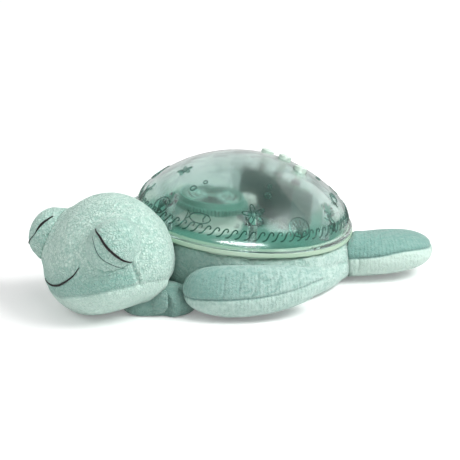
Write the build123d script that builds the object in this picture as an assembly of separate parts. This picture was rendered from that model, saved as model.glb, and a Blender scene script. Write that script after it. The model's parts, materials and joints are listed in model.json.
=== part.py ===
from build123d import *
import math
import os

# A turtle night light: a sleeping plush turtle, sewn around a hard lamp unit with a clear domed shell.
# Millimetres, +Z up, nose towards -Y, the turtle's left on +X, origin on the ground under the middle.
# The lamp unit is drawn in its own frame, with z = 0 on the dome's rim and the dome's axis as Z.

# Shared clearances
CUT_OVERRUN = 6.0
SEAM_GAP = 0.4
FACE_GAP = 0.3
RUNNING_CLEARANCE = 0.08
HOLE_CLEARANCE = 0.25
THREAD_CLEARANCE = 0.05

# Whole turtle
OVERALL_LENGTH = 324.0
NOSE_TO_SHELL = 191.0
RIM_HEIGHT = 51.0
SHELL_TILT_DEG = 7.0

# Dome
DOME_RADIUS = 90.0
DOME_HEIGHT = 52.0
DOME_SHOULDER_RADIUS = 25.0
DOME_WALL = 2.4
DOME_FLANGE_REACH = 3.0
DOME_FLANGE_THICKNESS = 3.0
BOSS_COUNT = 6
BOSS_CIRCLE_RADIUS = 76.0
BOSS_RADIUS = 4.0

# Trim ring and lamp deck
RING_HEIGHT = 4.0
RING_REACH = 0.8
RING_BAND = 9.5
RING_CHAMFER = 1.0
DECK_THICKNESS = 2.0

# Base tub
TUB_FLANGE_THICKNESS = 3.0
TUB_FLANGE_SEAT = 4.0
TUB_TOP_RADIUS = 70.0
TUB_FLOOR_RADIUS = 60.0
TUB_DEPTH = 40.0
TUB_WALL = 2.2
TUB_FLOOR = 3.2

# Screws: shank radius, head radius, head height, shank length
CASE_SCREW = (1.5, 3.0, 2.0, 12.0)
SMALL_SCREW = (1.0, 2.0, 1.3, 5.0)
DOOR_SCREW = (1.3, 2.6, 1.2, 8.0)
PILOT_EXTRA_DEPTH = 1.0

# Battery bay and door
CELL_COUNT = 3
CELL_RADIUS = 7.1
CELL_LENGTH = 50.5
CELL_NUB_RADIUS = 2.6
CELL_NUB_LENGTH = 1.2
CELL_PITCH = 15.0
BAY_Y = 22.6
BAY_SIDE_ROOM = 0.6
BAY_END_ROOM = 4.5
BAY_WALL = 1.6
CONTACT_THICKNESS = 0.5
CONTACT_WIDTH = 9.0
CONTACT_HEIGHT = 11.0
SPRING_LEAF_THICKNESS = 0.4
DOOR_THICKNESS = 1.6
DOOR_LEDGE = 2.6
DOOR_TAB_WIDTH = 13.0
DOOR_TAB_LENGTH = 8.0
DOOR_BOSS_RADIUS = 3.2

# Main board
BOARD_LENGTH = 56.0
BOARD_WIDTH = 42.0
BOARD_THICKNESS = 1.6
BOARD_POST_RADIUS = 2.6
BOARD_POST_HEIGHT = 5.0
BOARD_POST_INSET = 4.0
CHIP_SIDE = 12.0
CHIP_HEIGHT = 2.2
CAPACITOR_RADIUS = 2.6
CAPACITOR_LENGTH = 10.0
CAPACITOR_PLACE_SHARES = ((0.25, 0.2), (0.25, -0.2))
CHIP_PLACE_SHARE = -0.15

# Speaker
SPEAKER_Y = -30.0
SPEAKER_RADIUS = 20.0
SPEAKER_RIM_THICKNESS = 2.0
SPEAKER_DEPTH = 11.0
SPEAKER_WALL = 1.0
SPEAKER_CONE_WALL = 0.6
MAGNET_RADIUS = 12.0
MAGNET_HEIGHT = 7.0
SPEAKER_EAR_RADIUS = 4.0
SPEAKER_EAR_COUNT = 3
SPEAKER_BOSS_HEIGHT = 0.8
GRILLE_HOLE_RADIUS = 1.4
GRILLE_PITCH = 5.6
GRILLE_RINGS = 2

# Lamp
LAMP_Y = -34.0
LAMP_TUBE_RADIUS = 22.0
LAMP_TUBE_WALL = 2.0
LAMP_TUBE_HEIGHT = 23.0
LAMP_FLANGE_RADIUS = 28.0
LAMP_FLANGE_THICKNESS = 2.5
LAMP_SCREW_COUNT = 3
COLLAR_REACH = 2.5
COLLAR_THICKNESS = 1.5
COLLAR_HEIGHT = 16.0
LENS_SEAT_HEIGHT = 13.0
LENS_SEAT_WIDTH = 2.0
LENS_EDGE = 1.5
LENS_CROWN = 5.0
LAMP_BOARD_RADIUS = 16.0
LED_COUNT = 4
LED_RADIUS = 2.5
LED_BODY_HEIGHT = 3.5
LED_CIRCLE_RADIUS = 8.0

# Ripple rotor and drive
GEAR_MODULE = 1.0
GEAR_TEETH = 60
PINION_TEETH = 14
PRESSURE_ANGLE_DEG = 20.0
ADDENDUM_SHARE = 0.85
DEDENDUM_SHARE = 1.25
FLANK_SHARES = (0.0, 0.35, 0.7, 1.0)
GEAR_BACKLASH = 0.3
GEAR_FACE = 5.0
THRUST_GAP = 0.1
DISC_RADIUS = 25.0
DISC_THICKNESS = 2.4
DISC_GAP = 0.4
DISC_RIM_WALL = 2.0
DISC_RIPPLE_COUNT = 4
DISC_RIPPLE_HEIGHT = 0.7
MOTOR_RADIUS = 8.5
MOTOR_HEIGHT = 13.0
MOTOR_BORE_DEPTH = 6.0
SHAFT_RADIUS = 1.5
SHAFT_TIP = 1.0
BRACKET_THICKNESS = 1.5
BRACKET_DEPTH = 12.0
BRACKET_SIDE_ROOM = 4.0
BRACKET_FOOT = 8.0

# Controls
BUTTON_ROW_Y = 38.0
BUTTON_PITCH = 24.0
BUTTON_COUNT = 3
BUTTON_RADIUS = 5.5
BUTTON_PROUD = 4.0
BUTTON_CROWN = 1.4
BUTTON_FLANGE_REACH = 2.0
BUTTON_FLANGE_THICKNESS = 1.2
BUTTON_STEM_RADIUS = 3.0
BUTTON_HOLE_CLEARANCE = 0.35
BUTTON_TRAVEL = 1.2
SWITCH_SIDE = 6.0
SWITCH_HEIGHT = 3.4
SWITCH_BASE = 0.2
PLUNGER_RADIUS = 1.75
PLUNGER_PROUD = 1.4
PLUNGER_INSIDE = 1.8
CONTROL_DROP = 9.5
CONTROL_BOARD_WIDTH = 18.0
CONTROL_BOARD_MARGIN = 11.0
POD_WALL = 2.0
POD_MARGIN = 2.0

# Internal leads
LEAD_RADIUS = 0.9
LEAD_BEND_RADIUS = 3.0
LEAD_HOLE_CLEARANCE = 1.2
CONTROL_LEAD_RADIUS = 1.6
LEAD_SPACING = 2.4
LEAD_DROP = 4.0
CONNECTOR_LENGTH = 20.0
CONNECTOR_DEPTH = 6.0
MOTOR_LEAD_INSET = 6.5
BATTERY_LEAD_INSET = 5.0

# Plush body: a ring of stuffing, drawn in at the ground and at the trim ring
BODY_RADIUS = 95.0
BODY_SECTION_SHARES = ((0.0, 0.86), (0.07, 0.94), (0.24, 0.99), (0.52, 1.0), (0.8, 0.985), (1.0, 0.965))
BELLY_OPENING_RADIUS = 58.0

# Plush head: place along the length, half width, lowest and highest point, each as a share of the head
HEAD_LENGTH = 105.0
HEAD_WIDTH = 114.0
HEAD_HEIGHT = 99.5
HEAD_FLAT = 0.5
HEAD_WAIST_SHARE = 0.45
HEAD_YAW_DEG = 4.0
HEAD_ROLL_DEG = 11.5
HEAD_SECTION_SHARES = (
    (0.00, 0.15, 0.32, 0.48),
    (0.03, 0.40, 0.20, 0.60),
    (0.10, 0.64, 0.09, 0.73),
    (0.22, 0.84, 0.02, 0.86),
    (0.38, 0.96, 0.00, 0.96),
    (0.55, 1.00, 0.00, 1.00),
    (0.70, 0.95, 0.02, 0.975),
    (0.82, 0.82, 0.06, 0.90),
    (0.92, 0.62, 0.12, 0.80),
    (1.00, 0.40, 0.20, 0.68),
)

# Plush neck: a low saddle between the body and the head
NECK_REACH = 126.0
NECK_LENGTH = 48.0
NECK_WIDTH = 108.0
NECK_HEIGHT = 46.0
NECK_SINK = 7.0
NECK_WAIST_SHARE = 0.36
NECK_SECTION_SHARES = (
    (0.00, 0.34, 0.34),
    (0.06, 0.62, 0.52),
    (0.16, 0.86, 0.70),
    (0.30, 0.97, 0.84),
    (0.44, 1.00, 0.92),
    (0.60, 0.98, 0.97),
    (1.00, 0.90, 1.00),
)

# Padded eyelids
EYE_LENGTH = 51.0
EYE_WIDTH = 42.0
EYE_SINK = 15.0
EYE_BULGE = 34.0
EYE_CENTRE_BACK = 58.0
EYE_HEIGHT_SHARE = 0.4825
EYE_AZIMUTH_DEG = 57.0
EYE_ELEVATION_DEG = 19.5
EYE_ROLL_DEG = 35.0
EYE_SECTION_SHARES = ((0.0, 1.0), (0.5, 0.97), (0.78, 0.8), (0.93, 0.52), (1.0, 0.22))

# Front flippers: paddles that lie back along the body's sides
FRONT_ARC_RADIUS = 107.0
FRONT_START_DEG = -63.0
FRONT_SPAN_DEG = 68.0
FRONT_HEIGHT = 46.0
FRONT_THICKNESS = 27.0
FRONT_CENTRE_HEIGHT = 24.0
FRONT_TIP_RISE = 4.0
FRONT_LEAN_DEG = 16.0
FRONT_SECTION_SHARES = (
    (0.00, 0.26, 0.30),
    (0.05, 0.64, 0.66),
    (0.16, 0.90, 0.92),
    (0.38, 1.00, 1.00),
    (0.62, 0.92, 0.94),
    (0.82, 0.74, 0.78),
    (0.94, 0.48, 0.52),
    (1.00, 0.16, 0.20),
)
FRONT_PIVOT_RADIUS = 97.0
FRONT_ROOT_REACH = 23.0
FRONT_SWING_DEG = 30.0

# Rear flippers: short paddles that point back and out
REAR_ROOT_X = 60.0
REAR_ROOT_Y = 57.0
REAR_LENGTH = 82.0
REAR_SPLAY_DEG = 25.0
REAR_WIDTH = 52.0
REAR_THICKNESS = 39.0
REAR_CENTRE_HEIGHT = 20.5
REAR_TIP_RISE = 1.5
REAR_SECTION_SHARES = (
    (0.00, 0.78, 0.98),
    (0.25, 0.90, 1.00),
    (0.52, 1.00, 0.98),
    (0.76, 0.93, 0.86),
    (0.91, 0.68, 0.62),
    (0.975, 0.40, 0.38),
    (1.00, 0.15, 0.15),
)
REAR_PIVOT_REACH = 10.5
REAR_LIFT_DEG = 25.0

# Levels and places that follow from the sizes above
SHELL_Y = NOSE_TO_SHELL - OVERALL_LENGTH / 2
SHELL = Location((0, SHELL_Y, RIM_HEIGHT), (-SHELL_TILT_DEG, 0, 0))
CROWN_RADIUS = (DOME_RADIUS**2 + DOME_HEIGHT**2 - 2 * DOME_RADIUS * DOME_SHOULDER_RADIUS) / (
    2 * (DOME_HEIGHT - DOME_SHOULDER_RADIUS))
CROWN_Z = DOME_HEIGHT - CROWN_RADIUS
FLANGE_RADIUS = DOME_RADIUS + DOME_FLANGE_REACH
RING_RADIUS = FLANGE_RADIUS + RING_REACH
RING_INNER_RADIUS = RING_RADIUS - RING_BAND
RING_TOP = -DOME_FLANGE_THICKNESS
HEAD_CENTRE = (0, EYE_CENTRE_BACK - OVERALL_LENGTH / 2, HEAD_HEIGHT * EYE_HEIGHT_SHARE)
HEAD_POSE = Pos(HEAD_CENTRE) * Rot(0, -HEAD_ROLL_DEG, HEAD_YAW_DEG) * Pos(HEAD_CENTRE).inverse()
RING_BOTTOM = RING_TOP - RING_HEIGHT
DECK_TOP = RING_BOTTOM + DECK_THICKNESS
TUB_FLANGE_RADIUS = RING_INNER_RADIUS + TUB_FLANGE_SEAT
TUB_FLANGE_BOTTOM = RING_BOTTOM - TUB_FLANGE_THICKNESS
TUB_INSIDE = TUB_FLOOR - TUB_DEPTH
BAY_LENGTH = CELL_LENGTH + BAY_END_ROOM
BAY_WIDTH = CELL_PITCH * (CELL_COUNT - 1) + 2 * (CELL_RADIUS + BAY_SIDE_ROOM)
CELL_Z = DOOR_THICKNESS - TUB_DEPTH + FACE_GAP + CELL_RADIUS
BAY_CEILING = CELL_Z + CELL_RADIUS + FACE_GAP
BOARD_BOTTOM = BAY_CEILING + BAY_WALL + BOARD_POST_HEIGHT
BOARD_TOP = BOARD_BOTTOM + BOARD_THICKNESS
BOARD_FRONT = BAY_Y - BOARD_WIDTH / 2
LEAD_LEVEL = RING_BOTTOM - LEAD_DROP
DOOR_LENGTH = BAY_LENGTH + 2 * DOOR_LEDGE
DOOR_WIDTH = BAY_WIDTH + 2 * DOOR_LEDGE
DOOR_SCREW_Y = BAY_Y + DOOR_WIDTH / 2 + DOOR_TAB_LENGTH / 2
MOTOR_Y = LAMP_Y + GEAR_MODULE * (GEAR_TEETH + PINION_TEETH) / 2
COLLAR_TOP = DECK_TOP + COLLAR_HEIGHT
LENS_Z = DECK_TOP + LENS_SEAT_HEIGHT
GEAR_Z = COLLAR_TOP + THRUST_GAP
DISC_Z = DECK_TOP + LAMP_TUBE_HEIGHT + DISC_GAP
CONTROL_TILT_DEG = math.degrees(math.asin(BUTTON_ROW_Y / CROWN_RADIUS))
CONTROL = Location((0, 0, CROWN_Z), (-CONTROL_TILT_DEG, 0, 0))
BUTTON_XS = [BUTTON_PITCH * (i - (BUTTON_COUNT - 1) / 2) for i in range(BUTTON_COUNT)]
INNER_CROWN_RADIUS = CROWN_RADIUS - DOME_WALL
CONTROL_BOARD_TOP = math.sqrt(
    INNER_CROWN_RADIUS**2 - (BUTTON_XS[-1] + BUTTON_RADIUS + BUTTON_FLANGE_REACH)**2) - CONTROL_DROP
CONTROL_BOARD_LENGTH = BUTTON_PITCH * (BUTTON_COUNT - 1) + 2 * CONTROL_BOARD_MARGIN
PLUNGER_TOP = CONTROL_BOARD_TOP + SWITCH_HEIGHT + PLUNGER_PROUD
POD_Y = CONTROL_BOARD_TOP * math.sin(math.radians(CONTROL_TILT_DEG))


# Small helpers
def rod(radius, bottom, top, x=0, y=0):
    """An upright cylinder between two levels."""
    return Pos(x, y, (bottom + top) / 2) * Cylinder(radius, top - bottom)


def block(length, width, bottom, top, x=0, y=0):
    """An upright box between two levels."""
    return Pos(x, y, (bottom + top) / 2) * Box(length, width, top - bottom)


def ring_places(radius, count, start_deg=-90.0, y=0):
    """Points evenly spaced on a circle."""
    angles = [math.radians(start_deg + 360.0 * i / count) for i in range(count)]
    return [(radius * math.cos(a), y + radius * math.sin(a)) for a in angles]


def turned(edges):
    """The solid of revolution of a closed outline in the XZ plane."""
    return revolve(Face(Wire(edges)), Axis.Z)


def turned_polygon(points):
    """The solid of revolution of a polygon of (radius, level) points."""
    return turned(Polyline(*[(r, 0, z) for r, z in points], close=True).edges())


def screw(kind, x, y, seat, up=True):
    """A screw whose head rests on a seat level, with its shank going up or down."""
    radius, head_radius, head_height, length = kind
    way = 1 if up else -1
    head = rod(head_radius, min(seat, seat - way * head_height), max(seat, seat - way * head_height), x, y)
    shank = rod(radius, min(seat, seat + way * length), max(seat, seat + way * length), x, y)
    return head + shank


def lead(points):
    """A round lead along straight runs joined by tangent arcs."""
    path = FilletPolyline(*points, radius=LEAD_BEND_RADIUS)
    section = Plane(origin=path @ 0, z_dir=path % 0) * Circle(LEAD_RADIUS)
    return sweep(section, path)


def quarter_oval(wide, high):
    """Five points on a quarter oval of two tangent arcs, from the side to the end."""
    diagonal = math.hypot(wide, high)
    end_radius = diagonal * (diagonal - high) / (wide + high - diagonal)
    side_radius = diagonal * (diagonal - wide) / (wide + high - diagonal)
    joint = math.atan2(wide, high)
    side_angles = (0, joint / 2, joint)
    end_angles = ((joint + math.pi / 2) / 2, math.pi / 2)
    side = [(wide - side_radius + side_radius * math.cos(a), side_radius * math.sin(a)) for a in side_angles]
    end = [(end_radius * math.cos(a), high - end_radius + end_radius * math.sin(a)) for a in end_angles]
    return side + end


def oval(plane, wide, up, down):
    """A section of eight tangent arcs, alike on both sides, with its own reach up and down."""
    edges = []
    for sign_x, sign_y, reach in ((1, 1, up), (-1, 1, up), (-1, -1, down), (1, -1, down)):
        points = [(sign_x * x, sign_y * y) for x, y in quarter_oval(wide, reach)]
        if sign_x * sign_y < 0:
            points.reverse()
        edges += [ThreePointArc(*points[0:3]), ThreePointArc(*points[2:5])]
    return plane.location * Face(Wire(edges))


def save(name, shapes):
    """Write one node, of one solid or of a group of like solids."""
    solids = [s for shape in shapes for s in shape.solids()]
    node = solids[0] if len(solids) == 1 else Compound(children=solids)
    node.label = name
    export_step(node, f"parts/{name}.step")


def save_pair(name, shape):
    """Write a left piece and its mirror image on the right."""
    save(f"left_{name}", [shape])
    save(f"right_{name}", [mirror(shape, about=Plane.YZ)])


# Plush forms, each with a growth so that it can also cut its smaller neighbours
def body_form(grow=0.0):
    """The stuffed body, from the ground to the tilted trim ring, before the lamp unit's pocket is cut."""
    top = SHELL * Pos(0, 0, RING_BOTTOM - FACE_GAP)
    sections = []
    for level, share in BODY_SECTION_SHARES:
        centre = Vector(0, SHELL_Y + (top.position.Y - SHELL_Y) * level, top.position.Z * level)
        tilt = Location(centre, (-SHELL_TILT_DEG * level, 0, 0))
        radius = BODY_RADIUS * share + grow
        sections.append(oval(Plane(tilt), radius, radius, radius))
    return loft(sections)


def shell_envelope(grow):
    """What the dome and its trim ring fill, grown by a gap."""
    lift = RING_BOTTOM - grow
    return SHELL * (rod(RING_RADIUS + grow, lift, grow) + dome_core(grow, lift))


def head_form(grow=0.0):
    """The stuffed head, full in the cheeks and round at the muzzle."""
    nose = -OVERALL_LENGTH / 2
    sections = []
    for along, wide, low, high in HEAD_SECTION_SHARES:
        bottom, top = HEAD_HEIGHT * low - HEAD_FLAT - grow, HEAD_HEIGHT * high - HEAD_FLAT + grow
        waist = bottom + (top - bottom) * HEAD_WAIST_SHARE
        y = nose - grow + (HEAD_LENGTH + 2 * grow) * along
        plane = Plane(origin=(0, y, waist), x_dir=(1, 0, 0), z_dir=(0, -1, 0))
        sections.append(oval(plane, HEAD_WIDTH / 2 * wide + grow, top - waist, waist - bottom))
    return HEAD_POSE * loft(sections)


def neck_form():
    """The stuffed neck, a saddle that the head rests on."""
    sections = []
    for along, wide, high in NECK_SECTION_SHARES:
        top = NECK_HEIGHT * high
        waist = top * NECK_WAIST_SHARE
        y = SHELL_Y - NECK_REACH + NECK_LENGTH * along
        plane = Plane(origin=(0, y, waist), x_dir=(1, 0, 0), z_dir=(0, -1, 0))
        sections.append(oval(plane, NECK_WIDTH / 2 * wide, top - waist, waist + NECK_SINK))
    return loft(sections)


def front_pivots():
    """Where the two front flippers bend, as (x, y)."""
    angle = math.radians(FRONT_START_DEG)
    x, y = FRONT_PIVOT_RADIUS * math.cos(angle), SHELL_Y + FRONT_PIVOT_RADIUS * math.sin(angle)
    return [(x, y), (-x, y)]


def root_room():
    """Room around the front flippers' roots, so that the neck stays clear of their bend."""
    rooms = [rod(FRONT_ROOT_REACH, -CUT_OVERRUN, NECK_HEIGHT + CUT_OVERRUN, x, y) for x, y in front_pivots()]
    return rooms[0] + rooms[1]


def ground_cut():
    """Everything under the ground that a form could reach."""
    side = 2 * OVERALL_LENGTH
    return block(side, side, -NECK_SINK - CUT_OVERRUN, 0)


def eyelid_form():
    """The left padded eyelid, a rounded cushion that bulges out of the head."""
    azimuth, elevation, roll = (math.radians(a) for a in (EYE_AZIMUTH_DEG, EYE_ELEVATION_DEG, EYE_ROLL_DEG))
    out = Vector(math.sin(azimuth) * math.cos(elevation), -math.cos(azimuth) * math.cos(elevation),
                 math.sin(elevation))
    back = Vector(math.cos(azimuth), math.sin(azimuth), 0)
    along = back * math.cos(roll) - out.cross(back) * -math.sin(roll)
    centre = Vector(HEAD_CENTRE)
    head_reach = 1 / math.hypot(2 * out.X / HEAD_WIDTH, 2 * out.Y / HEAD_LENGTH, 2 * out.Z / HEAD_HEIGHT)
    sections = []
    for rise, share in EYE_SECTION_SHARES:
        plane = Plane(origin=centre + out * (head_reach - EYE_SINK + EYE_BULGE * rise), x_dir=along, z_dir=out)
        sections.append(oval(plane, EYE_LENGTH / 2 * share, EYE_WIDTH / 2 * share, EYE_WIDTH / 2 * share))
    return loft(sections)


def front_flipper_form():
    """The left front flipper, a leaning paddle on an arc around the body."""
    lean = math.radians(FRONT_LEAN_DEG)
    sections = []
    for along, high, thick in FRONT_SECTION_SHARES:
        angle = math.radians(FRONT_START_DEG + FRONT_SPAN_DEG * along)
        radial = Vector(math.cos(angle), math.sin(angle), 0)
        tangent = Vector(-math.sin(angle), math.cos(angle), 0)
        centre = radial * FRONT_ARC_RADIUS + Vector(0, SHELL_Y, FRONT_CENTRE_HEIGHT + FRONT_TIP_RISE * along)
        plane = Plane(origin=centre, x_dir=radial * math.cos(lean) + Vector(0, 0, math.sin(lean)), z_dir=-tangent)
        reach = FRONT_HEIGHT / 2 * high
        sections.append(oval(plane, FRONT_THICKNESS / 2 * thick, reach, reach))
    return loft(sections)


def rear_flipper_form():
    """The left rear flipper, a flattened paddle with a horizontal edge seam."""
    splay = math.radians(REAR_SPLAY_DEG)
    along_way = Vector(math.sin(splay), math.cos(splay), 0)
    across = Vector(math.cos(splay), -math.sin(splay), 0)
    root = Vector(REAR_ROOT_X, SHELL_Y + REAR_ROOT_Y, REAR_CENTRE_HEIGHT)
    sections = []
    for along, wide, thick in REAR_SECTION_SHARES:
        centre = root + along_way * (REAR_LENGTH * along) + Vector(0, 0, REAR_TIP_RISE * along)
        plane = Plane(origin=centre, x_dir=across, z_dir=-along_way)
        reach = REAR_THICKNESS / 2 * thick
        sections.append(oval(plane, REAR_WIDTH / 2 * wide, reach, reach))
    return loft(sections)


# Lamp unit pieces
def dome_arcs(inset):
    """The dome's crown and shoulder arcs, from the axis to the rim, set in from the outer face."""
    crown, shoulder = CROWN_RADIUS - inset, DOME_SHOULDER_RADIUS - inset
    shoulder_x = DOME_RADIUS - DOME_SHOULDER_RADIUS
    joint = math.atan2(-CROWN_Z, shoulder_x)
    crown_points = [(crown * math.cos(a), 0, CROWN_Z + crown * math.sin(a))
                    for a in (math.pi / 2, (math.pi / 2 + joint) / 2, joint)]
    shoulder_points = [(shoulder_x + shoulder * math.cos(a), 0, shoulder * math.sin(a))
                       for a in (joint, joint / 2, 0)]
    return crown_points, shoulder_points


def dome_core(grow, bottom):
    """The dome filled in, down to a level."""
    crown, shoulder = dome_arcs(-grow)
    walls = Polyline(shoulder[-1], (DOME_RADIUS + grow, 0, bottom), (0, 0, bottom), crown[0])
    return turned([ThreePointArc(*crown), ThreePointArc(*shoulder), *walls.edges()])


def make_dome():
    """Clear shell with its rim flange, screw bosses and button holes."""
    crown, shoulder = dome_arcs(0)
    crown_in, shoulder_in = dome_arcs(DOME_WALL)
    inner_radius = DOME_RADIUS - DOME_WALL
    rim = Polyline(shoulder[-1], (FLANGE_RADIUS, 0, 0), (FLANGE_RADIUS, 0, RING_TOP),
                   (inner_radius, 0, RING_TOP), shoulder_in[-1])
    outline = [ThreePointArc(*crown), ThreePointArc(*shoulder), *rim.edges(),
               ThreePointArc(*reversed(shoulder_in)), ThreePointArc(*reversed(crown_in)),
               Line(crown_in[0], crown[0])]
    dome = turned(outline)
    room = dome_core(-DOME_WALL / 2, DECK_TOP)
    pilot_top = TUB_FLANGE_BOTTOM + CASE_SCREW[3] + PILOT_EXTRA_DEPTH
    for x, y in ring_places(BOSS_CIRCLE_RADIUS, BOSS_COUNT):
        dome += rod(BOSS_RADIUS, DECK_TOP, DOME_HEIGHT, x, y) & room
    for x, y in ring_places(BOSS_CIRCLE_RADIUS, BOSS_COUNT):
        dome -= rod(CASE_SCREW[0] + THREAD_CLEARANCE, DECK_TOP - CUT_OVERRUN, pilot_top, x, y)
    for x in BUTTON_XS:
        hole = rod(BUTTON_RADIUS + BUTTON_HOLE_CLEARANCE, PLUNGER_TOP, CROWN_RADIUS + CUT_OVERRUN, x)
        dome -= CONTROL * hole
    return dome


def make_trim_ring():
    """Pale ring between the dome and the plush, bevelled towards the plush."""
    return turned_polygon([
        (RING_INNER_RADIUS, RING_TOP), (RING_RADIUS, RING_TOP), (RING_RADIUS, RING_BOTTOM + RING_CHAMFER),
        (RING_RADIUS - RING_CHAMFER, RING_BOTTOM), (RING_INNER_RADIUS, RING_BOTTOM)])


def make_tub():
    """Base tub with its flange, battery bay, board posts, speaker grille and door recess."""
    tub = turned_polygon([
        (0, -TUB_DEPTH), (TUB_FLOOR_RADIUS, -TUB_DEPTH), (TUB_TOP_RADIUS, TUB_FLANGE_BOTTOM),
        (TUB_FLANGE_RADIUS, TUB_FLANGE_BOTTOM), (TUB_FLANGE_RADIUS, RING_BOTTOM),
        (TUB_TOP_RADIUS - TUB_WALL, RING_BOTTOM), (TUB_TOP_RADIUS - TUB_WALL, TUB_FLANGE_BOTTOM),
        (TUB_FLOOR_RADIUS - TUB_WALL, TUB_INSIDE), (0, TUB_INSIDE)])
    bay_top = BAY_CEILING + BAY_WALL
    tub += block(BAY_LENGTH + 2 * BAY_WALL, BAY_WIDTH + 2 * BAY_WALL, TUB_INSIDE, bay_top, y=BAY_Y)
    for x, y in board_post_places():
        tub += rod(BOARD_POST_RADIUS, bay_top, BOARD_BOTTOM, x, y)
    boss_top = TUB_INSIDE + DOOR_SCREW[3]
    tub += rod(DOOR_BOSS_RADIUS, TUB_INSIDE, boss_top, y=DOOR_SCREW_Y)
    for x, y in speaker_ear_places():
        tub += rod(SPEAKER_EAR_RADIUS, TUB_INSIDE, TUB_INSIDE + SPEAKER_BOSS_HEIGHT, x, y)
        tub -= rod(SMALL_SCREW[0] + THREAD_CLEARANCE, TUB_INSIDE - TUB_FLOOR / 2, TUB_INSIDE + CUT_OVERRUN, x, y)
    tub -= block(BAY_LENGTH, BAY_WIDTH, -TUB_DEPTH - CUT_OVERRUN, BAY_CEILING, y=BAY_Y)
    tub -= door_plate(0, -TUB_DEPTH - CUT_OVERRUN)
    tub -= rod(DOOR_SCREW[0] + THREAD_CLEARANCE, -TUB_DEPTH, boss_top - PILOT_EXTRA_DEPTH, y=DOOR_SCREW_Y)
    for x, y in board_post_places():
        pilot_bottom = BOARD_TOP - SMALL_SCREW[3] - PILOT_EXTRA_DEPTH
        tub -= rod(SMALL_SCREW[0] + THREAD_CLEARANCE, pilot_bottom, BOARD_BOTTOM + CUT_OVERRUN, x, y)
    for x, y in grille_places():
        tub -= rod(GRILLE_HOLE_RADIUS, -TUB_DEPTH - CUT_OVERRUN, TUB_INSIDE + CUT_OVERRUN, x, y)
    for x, y in battery_lead_places():
        tub -= rod(LEAD_RADIUS + HOLE_CLEARANCE, BAY_CEILING - CUT_OVERRUN, bay_top + CUT_OVERRUN, x, y)
    for x, y in ring_places(BOSS_CIRCLE_RADIUS, BOSS_COUNT):
        tub -= rod(CASE_SCREW[0] + HOLE_CLEARANCE, TUB_FLANGE_BOTTOM - CUT_OVERRUN, RING_BOTTOM + CUT_OVERRUN, x, y)
    return tub


def board_post_places():
    """Centres of the main board's posts."""
    x, y = BOARD_LENGTH / 2 - BOARD_POST_INSET, BOARD_WIDTH / 2 - BOARD_POST_INSET
    return [(sx * x, BAY_Y + sy * y) for sx in (-1, 1) for sy in (-1, 1)]


def speaker_ear_places():
    """Centres of the speaker's screw ears."""
    return ring_places(SPEAKER_RADIUS + SPEAKER_EAR_RADIUS / 2, SPEAKER_EAR_COUNT, 90.0, SPEAKER_Y)


def grille_places():
    """Centres of the sound holes under the speaker."""
    places = [(0, SPEAKER_Y)]
    for ring in range(1, GRILLE_RINGS + 1):
        places += ring_places(GRILLE_PITCH * ring, 6 * ring, 0.0, SPEAKER_Y)
    return places


def battery_lead_places():
    """Where the two battery leads pass the bay's ceiling."""
    x = BAY_LENGTH / 2 - CONTACT_THICKNESS - LEAD_RADIUS - FACE_GAP
    y = BAY_Y - BAY_WIDTH / 2 + BATTERY_LEAD_INSET
    return [(-x, y), (x, y)]


def door_plate(gap, bottom):
    """The battery door's outline with its screw tab, drawn in by a gap."""
    top = DOOR_THICKNESS - TUB_DEPTH
    tab_y = BAY_Y + DOOR_WIDTH / 2
    plate = block(DOOR_LENGTH - 2 * gap, DOOR_WIDTH - 2 * gap, bottom, top, y=BAY_Y)
    tab = block(DOOR_TAB_WIDTH - 2 * gap, 2 * DOOR_TAB_LENGTH - 2 * gap, bottom, top, y=tab_y)
    return plate + tab


def make_door():
    """Battery door, flush with the tub's floor, with a screw hole in its tab."""
    door = door_plate(FACE_GAP, -TUB_DEPTH)
    return door - rod(DOOR_SCREW[0] + HOLE_CLEARANCE, -TUB_DEPTH - CUT_OVERRUN, 0, y=DOOR_SCREW_Y)


def make_deck():
    """Plate that carries the lamp, the motor and the controls, with holes for screws and leads."""
    deck = rod(RING_INNER_RADIUS - FACE_GAP, RING_BOTTOM, DECK_TOP)
    holes = [(CASE_SCREW[0] + HOLE_CLEARANCE, p) for p in ring_places(BOSS_CIRCLE_RADIUS, BOSS_COUNT)]
    holes += [(SMALL_SCREW[0] + THREAD_CLEARANCE, p) for p in lamp_screw_places() + bracket_screw_places()]
    holes += [(LEAD_RADIUS + LEAD_HOLE_CLEARANCE, p) for p in lamp_lead_places() + motor_lead_places()]
    holes += [(CONTROL_LEAD_RADIUS + LEAD_HOLE_CLEARANCE, (0, POD_Y))]
    for radius, (x, y) in holes:
        deck -= rod(radius, RING_BOTTOM - CUT_OVERRUN, DECK_TOP + CUT_OVERRUN, x, y)
    return deck


def lamp_screw_places():
    """Centres of the lamp housing's screws."""
    return ring_places((LAMP_TUBE_RADIUS + LAMP_FLANGE_RADIUS) / 2, LAMP_SCREW_COUNT, -90.0, LAMP_Y)


def lamp_lead_places():
    """Where the lamp's two leads pass the deck."""
    return [(-LEAD_SPACING, LAMP_Y), (LEAD_SPACING, LAMP_Y)]


def motor_lead_places():
    """Where the motor's two leads pass the deck."""
    return [(-LEAD_SPACING, MOTOR_Y + MOTOR_LEAD_INSET), (LEAD_SPACING, MOTOR_Y + MOTOR_LEAD_INSET)]


def bracket_screw_places():
    """Centres of the motor bracket's screws."""
    x = MOTOR_RADIUS + BRACKET_SIDE_ROOM + BRACKET_FOOT / 2
    return [(-x, MOTOR_Y), (x, MOTOR_Y)]


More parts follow.
